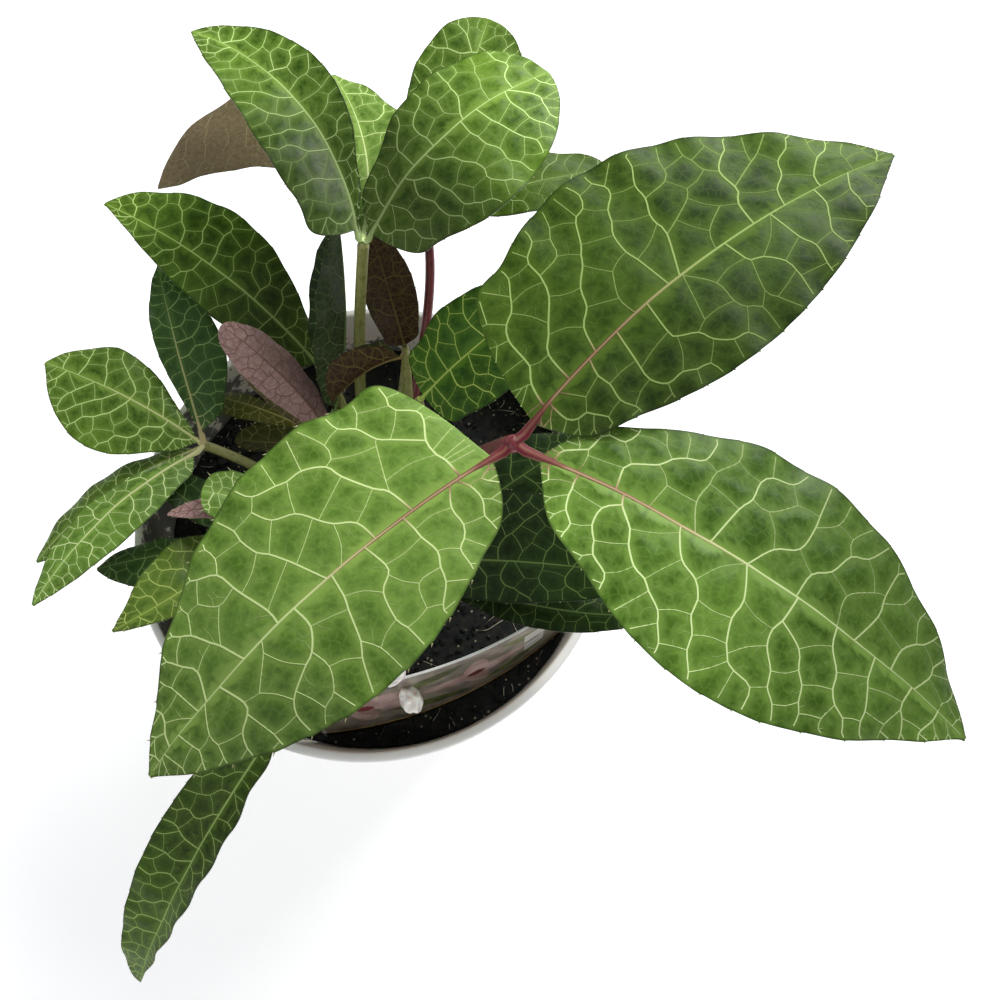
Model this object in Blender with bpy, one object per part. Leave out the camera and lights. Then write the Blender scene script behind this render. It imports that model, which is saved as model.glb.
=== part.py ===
"""Potted hellebore: marbled three-part leaves on petioles that rise from a crown, in peat,
in a round plastic nursery pot with a picture card pushed into the soil.

The tables below are in millimetres and degrees. The origin is the middle of the pot's base,
+Z is up, and the front of the plant, where the card stands, faces -Y."""

import math

import bmesh
import bpy
from mathutils import Matrix, Vector

MM = 0.001
GAP = 0.3

# Pot: a tapered, injection-moulded nursery pot with a rolled rim. Its floor is raised and
# drained, and a dimple in the middle comes down to the level of the foot ring.
POT_HEIGHT = 145.0
RIM_RADIUS = 86.0
RIM_HEIGHT = 9.0
RIM_STEP = 3.0
WALL = 1.4
BASE_RADIUS = 64.0
FLOOR_RING_WIDTH = 9.0
FLOOR_LIFT = 4.0
FLOOR_THICKNESS = 1.8
DIMPLE_RADIUS = 10.0
DRAIN_HOLES = 6
DRAIN_HOLE_RADIUS = 5.0
DRAIN_RING_RADIUS = 40.0
POT_SEGMENTS = 48

# Soil: peat, filled to about two centimetres under the rim.
SOIL_TOP = 122.0
SOIL_CROWN = 1.5

# Crown: the short woody rhizome that every petiole leaves.
CROWN_CENTRE = (4.0, 4.0)
CROWN_RADIUS = 17.0
CROWN_HEIGHT = 8.0

# Picture card: bent along the front wall; CARD_LEAN is how far its top leans back at each end.
CARD_AZIMUTH = -65.0
CARD_DISTANCE = 70.0
CARD_BEND_RADIUS = 145.0
CARD_HALF_WIDTH = 47.5
CARD_TOP = 174.0
CARD_BOTTOM = 114.0
CARD_THICKNESS = 0.6
CARD_LEAN = (10.0, 0.0)

# Leaflets: a thin blade on a short stalk, and the grid that each one is drawn with.
BLADE_THICKNESS = 0.8
STALK_HALF_WIDTH = 0.6
STALK_SHARE = 0.035
TIP_HALF_WIDTH = 0.5
ACROSS = 4
ALONG = 9

# Petioles: points on the path, roundness, and the ring on the crown where they stand.
PETIOLE_POINTS = 9
PETIOLE_BEVEL = 1
FOOT_RING_RADIUS = 12.5
FOOT_LEAN = 12.0
FOOT_MARGIN = 8.0


def leaflet(tip, half_widths, widest=(0.42, 0.45), fullness=(1.7, 1.7), bow=0.0, arch=4.0,
            roll=0.0, fold=(6.0, 6.0), cup=(-10.0, -10.0), twist=0.0, start=0.0):
    """One leaflet. Pairs give the left and the right half, seen from the stalk with the face up.
    widest is the share of the length where that half is broadest, fullness is 1 for a blunt
    oval and more for a pointed one, bow carries the midrib sideways and arch carries it up,
    fold lifts a half off the flat, cup bends it further towards its margin, and start is how
    far from the petiole's middle the stalk begins where its neighbours crowd it."""
    return {"tip": tip, "half_widths": half_widths, "widest": widest, "fullness": fullness,
            "bow": bow, "arch": arch, "roll": roll, "fold": fold, "cup": cup, "twist": twist,
            "start": start}


# Each leaf: where its petiole stands on the crown as an angle, the junction at its top, the
# petiole's radii, how far its path swings from the straight line, and its leaflets.
LEAVES = {
    "front_leaf": {
        "foot": 325, "lean": 2, "junction": (49, -27, 281), "radii": (2.3, 2.2), "swing": (-2, 8),
        "colour": "green_leaf",
        "leaflets": {
            "back": leaflet((139, 42, 292), (35, 25), (0.36, 0.46), (1.4, 1.8), bow=-6.6, arch=4,
                            fold=(7, 5), cup=(-8, -14)),
            "right": leaflet((149, -90, 262), (27, 29), (0.47, 0.47), (1.8, 2.1), bow=-3.0,
                             arch=9, fold=(6, 6), cup=(-16, -22)),
            "left": leaflet((-30, -98, 264), (26, 32), (0.46, 0.32), (1.8, 1.4), bow=3.9, arch=7,
                            fold=(4, 6), cup=(-20, -14)),
        },
    },
    "back_leaf": {
        "foot": 110, "lean": 58, "junction": (4, 62, 224), "radii": (2.1, 1.8), "swing": (-3, 12),
        "colour": "green_leaf",
        "leaflets": {
            "left": leaflet((-53, 135, 234), (19, 14), (0.38, 0.62), (1.35, 1.8), bow=11, arch=5,
                            roll=-8, fold=(4, 12), cup=(-6, 16)),
            "right": leaflet((61, 115, 238), (19, 29), (0.66, 0.5), (1.0, 1.3), bow=-5, arch=6,
                             fold=(6, 4), cup=(-12, -22)),
            "middle": leaflet((-12, 141, 208), (13, 17), (0.5, 0.45), (1.5, 1.5), bow=6, arch=0,
                              fold=(4, 4), start=2.6),
        },
    },
    "rear_leaf": {
        "foot": 70, "junction": (20, 92, 194), "radii": (2.0, 1.6), "swing": (10, 2),
        "colour": "green_leaf",
        "leaflets": {
            "left": leaflet((-69, 97, 205), (25, 9), (0.66, 0.5), (1.3, 1.4), bow=-17, arch=-8,
                            roll=180, fold=(-6, -10), cup=(16, 20)),
            "middle": leaflet((42, 152, 222), (19, 20), (0.6, 0.58), (1.3, 1.2), bow=1, arch=4,
                              fold=(8, 6)),
            "right": leaflet((84, 107, 202), (11, 11), (0.53, 0.6), (1.5, 1.6), bow=1, arch=5,
                             fold=(6, 6)),
        },
    },
    "side_leaf": {
        "foot": 130, "junction": (-18, 50, 162), "radii": (1.9, 1.6), "swing": (5, 3),
        "colour": "dark_leaf",
        "leaflets": {
            "outer": leaflet((-95, 104, 186), (14.5, 21), (0.41, 0.57), (1.8, 1.7), bow=4.2,
                             arch=6, fold=(-2, 8), cup=(4, -14)),
        },
    },
    "upright_leaf": {
        "foot": 151, "junction": (-14, 36.5, 156), "radii": (1.8, 1.5), "swing": (-1, -3),
        "colour": "dark_leaf",
        "leaflets": {
            "folded": leaflet((-6, 76, 214), (15, 14), (0.5, 0.5), (1.5, 1.5), bow=2, arch=-3,
                              roll=68, fold=(50, 52), cup=(4, 4)),
        },
    },
    "left_leaf": {
        "foot": 194, "junction": (-59, 22, 159), "radii": (2.0, 1.8), "swing": (-4, 6),
        "colour": "green_leaf",
        "leaflets": {
            "outer": leaflet((-115, 49, 170), (22, 15), (0.52, 0.62), (2.1, 2.2), bow=2, arch=3,
                             fold=(4, 0)),
            "upper": leaflet((-77, 85, 176), (7, 16), (0.58, 0.42), (2.3, 1.85), arch=5,
                             fold=(10, 4), cup=(-4, -12), start=3.4),
            "lower": leaflet((-117, -18, 149), (9, 8), (0.5, 0.5), (1.6, 1.6), bow=4, arch=4,
                             roll=6, fold=(-6, -16), cup=(-8, -20)),
            "rolled": leaflet((-107, -38, 168), (11, 9), (0.45, 0.55), (1.6, 1.9), bow=1,
                              arch=7, roll=-12, fold=(-6, 2), cup=(-20, -16), start=3.2),
        },
    },
    "bronze_leaf": {
        "foot": 172, "junction": (-15, 29, 147), "radii": (1.6, 1.3), "swing": (-2, 0),
        "colour": "young_leaf",
        "leaflets": {
            "mauve": leaflet((-45, 48, 199), (9, 9), (0.55, 0.6), (1.2, 1.4), bow=-2, arch=-3,
                             roll=180, fold=(14, 14), cup=(16, 16), start=3.3),
            "strap": leaflet((-49, 52, 167), (4, 4), (0.5, 0.5), (1.2, 1.2), arch=3, roll=24,
                             fold=(20, 4), cup=(10, -6)),
            "olive": leaflet((-58, 45, 150), (6, 4), (0.82, 0.75), (1.3, 1.5), arch=4,
                             fold=(6, -4), cup=(-20, -20), start=4.2),
            "cupped": leaflet((-53, 31, 143), (7, 8), (0.6, 0.6), (1.3, 1.3), arch=-2, roll=-12,
                              fold=(20, 10), cup=(20, 8), start=2.4),
        },
    },
    "low_leaf": {
        "foot": 240, "junction": (-42, -9, 144), "radii": (1.6, 1.4), "swing": (-2, 6),
        "colour": "bright_leaf",
        "leaflets": {
            "upper": leaflet((-80, 15, 156), (5, 10), (0.5, 0.4), (2.0, 1.5), bow=-2, arch=4,
                             fold=(16, 2), start=2.6),
            "middle": leaflet((-95, -21, 150), (12, 6), (0.5, 0.6), (1.6, 2.0), arch=4,
                              fold=(2, -6), start=2.4),
            "lower": leaflet((-83, -45, 160), (8, 16), (0.4, 0.42), (1.4, 2.0), bow=-3, arch=5,
                             fold=(6, 14), cup=(-10, -16)),
        },
    },
    "toothed_leaf": {
        "foot": 216, "junction": (-29, -3, 159), "radii": (1.4, 1.2), "swing": (-4, 2),
        "colour": "young_leaf",
        "leaflets": {
            "upper": leaflet((-54, 0, 173), (9, 9), (0.6, 0.6), (0.9, 0.9), arch=2,
                             fold=(6, 6)),
            "pink": leaflet((-67, -6, 166), (4, 4), (0.5, 0.5), (1.6, 1.6), bow=-2, arch=0,
                            roll=180, fold=(-10, -10), start=3.4),
        },
    },
    "drooping_leaf": {
        "foot": 266, "junction": (-24, -70, 154), "radii": (1.9, 1.6), "swing": (-4, 14),
        "colour": "dark_leaf",
        "leaflets": {
            "only": leaflet((-85, -159, 88), (8, 16), (0.4, 0.42), (1.8, 1.0), bow=-0.5, arch=15,
                            fold=(20, 8), cup=(20, 4)),
        },
    },
    "sunlit_leaf": {
        "foot": 28, "junction": (19, 27, 186), "radii": (1.8, 1.6), "swing": (4, -2),
        "colour": "bright_leaf",
        "leaflets": {
            "back": leaflet((65, 52, 218), (17, 18), (0.4, 0.4), (1.3, 1.3), arch=5, roll=-4,
                            fold=(8, 6)),
        },
    },
    "inner_leaf": {
        "foot": 292, "junction": (13, -24, 171), "radii": (1.9, 1.7), "swing": (2, 4),
        "colour": "dark_leaf",
        "leaflets": {
            "middle": leaflet((94, -38, 202), (23, 13), (0.42, 0.42), (1.5, 1.3), bow=-1, arch=5,
                              fold=(8, 4)),
            "back": leaflet((72, 14, 185), (13, 12), (0.62, 0.5), (2.2, 1.7), arch=2,
                            fold=(4, -8), cup=(-8, -16)),
            "front": leaflet((95, -45, 184), (9, 7), (0.55, 0.55), (1.8, 1.6), bow=5, arch=0,
                             fold=(-8, 4), start=3.1),
        },
    },
    "young_leaf": {
        "foot": 90, "junction": (12, 56, 168), "radii": (1.7, 1.4), "swing": (3, 4),
        "colour": "young_leaf",
        "leaflets": {
            "upright": leaflet((3, 80, 206), (9, 9), (0.5, 0.5), (1.1, 1.1), arch=-3, roll=180,
                               fold=(-10, -10), cup=(-10, -10)),
        },
    },
    "curled_leaf": {
        "foot": 49, "junction": (15, 41.5, 192), "radii": (1.7, 1.4), "swing": (0, 4),
        "colour": "young_leaf",
        "leaflets": {
            "only": leaflet((-10.5, 29.5, 180), (10, 9), (0.5, 0.42), (1.1, 1.1), arch=5,
                            fold=(95, 16), cup=(60, -8)),
        },
    },
}

COLOURS = {
    "pot": ((0.86, 0.86, 0.84), 0.38),
    "soil": ((0.035, 0.028, 0.022), 0.95),
    "crown": ((0.16, 0.11, 0.06), 0.8),
    "card": ((0.38, 0.33, 0.30), 0.35),
    "glue": ((0.85, 0.84, 0.78), 0.3),
    "green_leaf": ((0.11, 0.22, 0.06), 0.38),
    "dark_leaf": ((0.05, 0.12, 0.03), 0.4),
    "bright_leaf": ((0.16, 0.30, 0.04), 0.38),
    "young_leaf": ((0.26, 0.17, 0.13), 0.42),
    "petiole": ((0.30, 0.33, 0.12), 0.45),
    "red_petiole": ((0.26, 0.07, 0.05), 0.45),
}
RED_PETIOLES = ("front_leaf", "rear_leaf")


def clear_scene():
    for obj in list(bpy.data.objects):
        bpy.data.objects.remove(obj, do_unlink=True)


def material(name):
    if name in bpy.data.materials:
        return bpy.data.materials[name]
    colour, roughness = COLOURS[name]
    made = bpy.data.materials.new(name)
    made.use_nodes = True
    shader = made.node_tree.nodes["Principled BSDF"]
    shader.inputs["Base Color"].default_value = (*colour, 1.0)
    shader.inputs["Roughness"].default_value = roughness
    shader.inputs["Metallic"].default_value = 0.0
    return made


def add_object(name, data, finish, smooth_angle=50.0):
    obj = bpy.data.objects.new(name, data)
    bpy.context.scene.collection.objects.link(obj)
    data.materials.append(material(finish))
    if obj.type == "MESH":
        data.shade_smooth()
        data.set_sharp_from_angle(angle=math.radians(smooth_angle))
    return obj


def mesh_from(bm, name):
    mesh = bpy.data.meshes.new(name)
    bm.to_mesh(mesh)
    bm.free()
    return mesh


def cut_away(obj, cutter):
    cut = obj.modifiers.new("cut_" + cutter.name, "BOOLEAN")
    cut.operation = "DIFFERENCE"
    cut.solver = "EXACT"
    cut.object = cutter
    cutter.hide_render = True
    cutter.display_type = "WIRE"


def lathe(profile, segments, centre=(0.0, 0.0)):
    """A closed solid of revolution from a (radius, height) profile that starts and ends on
    the axis."""
    bm = bmesh.new()
    verts = [bm.verts.new((radius * MM, 0.0, height * MM)) for radius, height in profile]
    edges = [bm.edges.new(pair) for pair in zip(verts, verts[1:])]
    bmesh.ops.spin(bm, geom=verts + edges, cent=(0.0, 0.0, 0.0), axis=(0.0, 0.0, 1.0),
                   angle=math.tau, steps=segments, use_merge=True)
    bmesh.ops.remove_doubles(bm, verts=bm.verts, dist=0.01 * MM)
    bmesh.ops.translate(bm, verts=bm.verts, vec=(centre[0] * MM, centre[1] * MM, 0.0))
    bmesh.ops.recalc_face_normals(bm, faces=bm.faces)
    return bm


def inner_radius(height):
    """The pot's inside radius at a height below the rim."""
    share = height / (POT_HEIGHT - RIM_HEIGHT)
    return BASE_RADIUS + (RIM_RADIUS - RIM_STEP - BASE_RADIUS) * share - WALL


def make_pot():
    body_top = POT_HEIGHT - RIM_HEIGHT
    foot_inner = BASE_RADIUS - FLOOR_RING_WIDTH
    inside_floor = FLOOR_LIFT + FLOOR_THICKNESS
    dimple_slope = DIMPLE_RADIUS + FLOOR_LIFT
    profile = [
        (0.0, FLOOR_THICKNESS), (DIMPLE_RADIUS - 1.0, FLOOR_THICKNESS),
        (dimple_slope - 1.0, inside_floor),
        (inner_radius(inside_floor) - 3.0, inside_floor),
        (inner_radius(inside_floor + 3.0), inside_floor + 3.0),
        (inner_radius(body_top), body_top), (RIM_RADIUS - 3.4, POT_HEIGHT - 1.6),
        (RIM_RADIUS - 2.6, POT_HEIGHT), (RIM_RADIUS - 1.2, POT_HEIGHT),
        (RIM_RADIUS, POT_HEIGHT - 1.2), (RIM_RADIUS - 0.4, body_top + 0.3),
        (RIM_RADIUS - 1.0, body_top), (RIM_RADIUS - RIM_STEP, body_top),
        (BASE_RADIUS + 0.6, 1.5), (BASE_RADIUS - 0.9, 0.0), (foot_inner, 0.0),
        (foot_inner - 3.0, FLOOR_LIFT), (dimple_slope, FLOOR_LIFT), (DIMPLE_RADIUS, 0.0),
        (0.0, 0.0),
    ]
    pot = add_object("pot", mesh_from(lathe(profile, POT_SEGMENTS), "pot"), "pot", 35.0)
    for index in range(DRAIN_HOLES):
        angle = math.tau * (index + 0.5) / DRAIN_HOLES
        reach = DRAIN_RING_RADIUS * MM
        place = Matrix.Translation((reach * math.cos(angle), reach * math.sin(angle),
                                    FLOOR_LIFT * MM))
        bm = bmesh.new()
        bmesh.ops.create_cone(bm, cap_ends=True, segments=16, radius1=DRAIN_HOLE_RADIUS * MM,
                              radius2=DRAIN_HOLE_RADIUS * MM, depth=12.0 * MM, matrix=place)
        hole = add_object(f"drain_cutter_{index + 1}", mesh_from(bm, "drain_cutter"), "pot")
        cut_away(pot, hole)
    return pot


def make_soil():
    floor = FLOOR_LIFT + FLOOR_THICKNESS + GAP
    profile = [
        (0.0, SOIL_TOP + SOIL_CROWN), (30.0, SOIL_TOP + SOIL_CROWN), (60.0, SOIL_TOP),
        (inner_radius(SOIL_TOP) - GAP - 3.0, SOIL_TOP - 1.0),
        (inner_radius(SOIL_TOP - 1.5) - GAP, SOIL_TOP - 1.5),
        (inner_radius(floor + 3.2) - GAP, floor + 3.2),
        (inner_radius(floor) - 3.6, floor), (DIMPLE_RADIUS + FLOOR_LIFT - 1.4, floor),
        (DIMPLE_RADIUS - 1.4, floor - FLOOR_LIFT), (0.0, floor - FLOOR_LIFT),
    ]
    return add_object("soil", mesh_from(lathe(profile, POT_SEGMENTS), "soil"), "soil", 40.0)


def make_crown():
    foot = SOIL_TOP + SOIL_CROWN + GAP
    top = foot + CROWN_HEIGHT
    profile = [(0.0, top), (CROWN_RADIUS - 2.5, top), (CROWN_RADIUS, top - 3.0),
               (CROWN_RADIUS, foot), (0.0, foot)]
    bm = lathe(profile, 20, CROWN_CENTRE)
    return add_object("crown", mesh_from(bm, "crown"), "crown", 40.0)


def card_outwards():
    azimuth = math.radians(CARD_AZIMUTH)
    return Vector((math.cos(azimuth), math.sin(azimuth), 0.0))


def card_point(across, height, outwards=0.0):
    """A point of the card: across runs from -1 at the left end to 1, height in millimetres."""
    turn = across * CARD_HALF_WIDTH / CARD_BEND_RADIUS
    lean = CARD_LEAN[0] + (CARD_LEAN[1] - CARD_LEAN[0]) * (across + 1.0) / 2.0
    share = (height - CARD_BOTTOM) / (CARD_TOP - CARD_BOTTOM)
    radial = CARD_DISTANCE - CARD_BEND_RADIUS * (1.0 - math.cos(turn)) - lean * share + outwards
    facing = card_outwards()
    along = Vector((-facing.y, facing.x, 0.0))
    place = facing * radial + along * CARD_BEND_RADIUS * math.sin(turn)
    return (place + Vector((0.0, 0.0, height))) * MM


def card_solid(thickness, bottom, top, margin=0.0):
    bm = bmesh.new()
    bmesh.ops.create_grid(bm, x_segments=12, y_segments=3, size=1.0)
    for vert in bm.verts:
        across = vert.co.x * (1.0 + margin / CARD_HALF_WIDTH)
        height = bottom + (top - bottom) * (vert.co.y + 1.0) / 2.0
        vert.co = card_point(across, height, -thickness / 2.0)
    made = bmesh.ops.extrude_face_region(bm, geom=list(bm.faces))
    moved = [item for item in made["geom"] if isinstance(item, bmesh.types.BMVert)]
    bmesh.ops.translate(bm, verts=moved, vec=card_outwards() * thickness * MM)
    bmesh.ops.recalc_face_normals(bm, faces=bm.faces)
    return bm


def make_card(soil):
    solid = card_solid(CARD_THICKNESS, CARD_BOTTOM, CARD_TOP)
    card = add_object("picture_card", mesh_from(solid, "picture_card"), "card", 30.0)
    room = card_solid(CARD_THICKNESS + 2 * GAP, CARD_BOTTOM - GAP, CARD_TOP, margin=GAP)
    slot = add_object("card_slot", mesh_from(room, "card_slot"), "soil", 30.0)
    cut_away(soil, slot)
    return card


def make_glue_dab(name, across, height, size, outwards):
    """A flattened drop of hardened glue; size is its thickness, width and height as radii."""
    bm = bmesh.new()
    bmesh.ops.create_icosphere(bm, subdivisions=2, radius=MM)
    turn = Matrix.Rotation(math.radians(CARD_AZIMUTH), 4, "Z")
    stretch = Matrix.Diagonal((*size, 1.0))
    place = Matrix.Translation(card_point(across, height, outwards))
    bmesh.ops.transform(bm, matrix=place @ turn @ stretch, verts=bm.verts)
    return add_object(name, mesh_from(bm, name), "glue", 80.0)


def petiole_path(leaf):
    """The centre line of a petiole: out of the crown's top, then over to the junction."""
    angle = math.radians(leaf["foot"])
    lean = math.radians(leaf.get("lean", FOOT_LEAN))
    outwards = Vector((math.cos(angle), math.sin(angle), 0.0))
    crown_top = SOIL_TOP + SOIL_CROWN + GAP + CROWN_HEIGHT
    foot = Vector((*CROWN_CENTRE, crown_top + GAP)) + outwards * FOOT_RING_RADIUS
    foot.z += leaf["radii"][0] * math.sin(lean + math.radians(FOOT_MARGIN))
    top = Vector(leaf["junction"])
    leave = outwards * math.sin(lean) + Vector((0.0, 0.0, math.cos(lean)))
    near_foot = foot + leave * 0.3 * (top - foot).length
    near_top = top - (top - foot) * 0.3 + Vector((*leaf["swing"], 0.0))
    path = []
    for index in range(PETIOLE_POINTS):
        t = index / (PETIOLE_POINTS - 1)
        s = 1.0 - t
        path.append(foot * s ** 3 + near_foot * 3 * s * s * t + near_top * 3 * s * t * t
                    + top * t ** 3)
    return path


def make_petiole(name, leaf, finish):
    curve = bpy.data.curves.new(name, "CURVE")
    curve.dimensions = "3D"
    curve.bevel_depth = MM
    curve.bevel_resolution = PETIOLE_BEVEL
    curve.render_resolution_u = 0
    curve.use_fill_caps = True
    spline = curve.splines.new("POLY")
    path = petiole_path(leaf)
    spline.points.add(len(path) - 1)
    for index, (point, place) in enumerate(zip(spline.points, path)):
        share = index / (len(path) - 1)
        point.co = (*(place * MM), 1.0)
        point.radius = leaf["radii"][0] * (1.0 - share) + leaf["radii"][1] * share
    return add_object(name, curve, finish)


def leaflet_base(leaf, shape):
    """Where the stalk begins: just clear of the petiole's end, on the line to the tip."""
    path = petiole_path(leaf)
    top = path[-1]
    rise = (top - path[-2]).normalized()
    direction = (Vector(shape["tip"]) - top).normalized()
    up = direction.dot(rise)
    out = math.sqrt(max(1.0 - up * up, 0.0))
    half = BLADE_THICKNESS / 2.0
    over = (GAP + half * out) / up if up > 0.2 else math.inf
    beside = (leaf["radii"][1] + GAP + half * abs(up)) / out if out > 0.2 else math.inf
    return top + direction * max(min(over, beside), shape["start"])


def half_outline(v, half_width, widest, fullness):
    """The half width of the blade at a share v of its length."""
    blade_v = max(0.0, (v - STALK_SHARE) / (1.0 - STALK_SHARE))
    rise = fullness * widest
    fall = fullness * (1.0 - widest)
    peak = widest ** rise * (1.0 - widest) ** fall
    blade = half_width * blade_v ** rise * (1.0 - blade_v) ** fall / peak
    return math.hypot(blade, STALK_HALF_WIDTH if v < 0.5 else TIP_HALF_WIDTH)


def blade_point(shape, base, u, v):
    """A point of the blade's middle surface: u from -1 at the left margin to 1 at the right."""
    axis = Vector(shape["tip"]) - base
    forward = axis.normalized()
    level = forward.cross(Vector((0.0, 0.0, 1.0))).normalized()
    roll = math.radians(shape["roll"] + shape["twist"] * (v - 0.5))
    side = Matrix.Rotation(roll, 3, -forward) @ level
    up = side.cross(forward)
    hump = 4.0 * v * (1.0 - v)
    half = 0 if u < 0 else 1
    width = half_outline(v, shape["half_widths"][half], shape["widest"][half],
                         shape["fullness"][half])
    lift = math.radians(shape["fold"][half] + shape["cup"][half] * abs(u) / 2.0)
    midrib = base + axis * v + up * (shape["arch"] * hump) + side * (shape["bow"] * hump)
    return midrib + side * (u * width * math.cos(lift)) + up * (abs(u) * width * math.sin(lift))


def make_leaflet(name, leaf, shape):
    base = leaflet_base(leaf, shape)
    bm = bmesh.new()
    bmesh.ops.create_grid(bm, x_segments=ACROSS, y_segments=ALONG, size=1.0)
    for vert in bm.verts:
        along = (vert.co.y + 1.0) / 2.0
        v = (1.0 - math.cos(math.pi * along)) / 2.0
        vert.co = blade_point(shape, base, vert.co.x, v) * MM
    blade = add_object(name, mesh_from(bm, name), leaf["colour"], 80.0)
    wall = blade.modifiers.new("thickness", "SOLIDIFY")
    wall.thickness = BLADE_THICKNESS * MM
    wall.offset = 0.0
    return blade


def build():
    clear_scene()
    make_pot()
    soil = make_soil()
    make_crown()
    make_card(soil)
    make_glue_dab("upper_glue_dab", -0.32, CARD_TOP + 4.4, (3.0, 4.5, 4.0), 0.0)
    make_glue_dab("lower_glue_dab", -0.28, 160.0, (2.2, 4.0, 5.5), 3.0)
    for leaf_name, leaf in LEAVES.items():
        finish = "red_petiole" if leaf_name in RED_PETIOLES else "petiole"
        make_petiole(leaf_name + "_petiole", leaf, finish)
        for part_name, shape in leaf["leaflets"].items():
            make_leaflet(f"{leaf_name}_{part_name}_leaflet", leaf, shape)


build()
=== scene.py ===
"""Looks of the potted hellebore: veined leaflets with toothed margins, petioles, peat, the
nursery pot, its picture card and the dabs of glue, in soft studio light.

Lengths in the tables are millimetres. A leaflet's surface is given twice: as a flat pattern,
x across and y along in millimetres, where its veins are grown, and as that pattern bent into
place by blade_point()."""

import heapq
import math
import random

import bmesh
import bpy
from mathutils import Matrix, Vector, kdtree, noise
from mathutils.geometry import delaunay_2d_cdt


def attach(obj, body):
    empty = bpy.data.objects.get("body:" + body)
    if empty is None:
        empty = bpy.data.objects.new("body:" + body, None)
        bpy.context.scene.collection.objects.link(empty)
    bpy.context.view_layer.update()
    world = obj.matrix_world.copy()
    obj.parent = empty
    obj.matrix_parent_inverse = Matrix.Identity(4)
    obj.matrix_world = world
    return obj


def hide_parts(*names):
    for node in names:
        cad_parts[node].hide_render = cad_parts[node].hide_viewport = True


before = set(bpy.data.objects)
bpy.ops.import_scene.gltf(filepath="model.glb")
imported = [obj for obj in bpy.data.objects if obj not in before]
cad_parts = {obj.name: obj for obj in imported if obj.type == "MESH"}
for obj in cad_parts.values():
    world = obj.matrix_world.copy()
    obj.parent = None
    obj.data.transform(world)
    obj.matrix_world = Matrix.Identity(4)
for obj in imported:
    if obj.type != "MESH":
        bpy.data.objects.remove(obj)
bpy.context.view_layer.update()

MM = 0.001
GAP = 0.3

# Pot: a tapered, injection-moulded nursery pot with a rolled rim. Its floor is raised and
# drained, and a dimple in the middle comes down to the level of the foot ring.
POT_HEIGHT = 145.0
RIM_RADIUS = 86.0
RIM_HEIGHT = 9.0
RIM_STEP = 3.0
WALL = 1.4
BASE_RADIUS = 64.0
FLOOR_RING_WIDTH = 9.0
FLOOR_LIFT = 4.0
FLOOR_THICKNESS = 1.8
DIMPLE_RADIUS = 10.0
DRAIN_HOLES = 6
DRAIN_HOLE_RADIUS = 5.0
DRAIN_RING_RADIUS = 40.0

# Soil: peat, filled to about two centimetres under the rim.
SOIL_TOP = 122.0
SOIL_CROWN = 1.5

# Crown: the short woody rhizome that every petiole leaves.
CROWN_CENTRE = (4.0, 4.0)
CROWN_RADIUS = 17.0
CROWN_HEIGHT = 8.0

# Picture card: bent along the front wall; CARD_LEAN is how far its top leans back at each end.
CARD_AZIMUTH = -65.0
CARD_DISTANCE = 70.0
CARD_BEND_RADIUS = 145.0
CARD_HALF_WIDTH = 47.5
CARD_TOP = 174.0
CARD_BOTTOM = 114.0
CARD_THICKNESS = 0.6
CARD_LEAN = (10.0, 0.0)

# Leaflets: a thin blade on a short stalk, and the grid that each one is drawn with.
BLADE_THICKNESS = 0.8
STALK_HALF_WIDTH = 0.6
STALK_SHARE = 0.035
TIP_HALF_WIDTH = 0.5

# Petioles: points on the path, roundness, and the ring on the crown where they stand.
FOOT_RING_RADIUS = 12.5
FOOT_LEAN = 12.0
FOOT_MARGIN = 8.0


def leaflet(tip, half_widths, widest=(0.42, 0.45), fullness=(1.7, 1.7), bow=0.0, arch=4.0,
            roll=0.0, fold=(6.0, 6.0), cup=(-10.0, -10.0), twist=0.0, start=0.0):
    """One leaflet. Pairs give the left and the right half, seen from the stalk with the face up.
    widest is the share of the length where that half is broadest, fullness is 1 for a blunt
    oval and more for a pointed one, bow carries the midrib sideways and arch carries it up,
    fold lifts a half off the flat, cup bends it further towards its margin, and start is how
    far from the petiole's middle the stalk begins where its neighbours crowd it."""
    return {"tip": tip, "half_widths": half_widths, "widest": widest, "fullness": fullness,
            "bow": bow, "arch": arch, "roll": roll, "fold": fold, "cup": cup, "twist": twist,
            "start": start}


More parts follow.
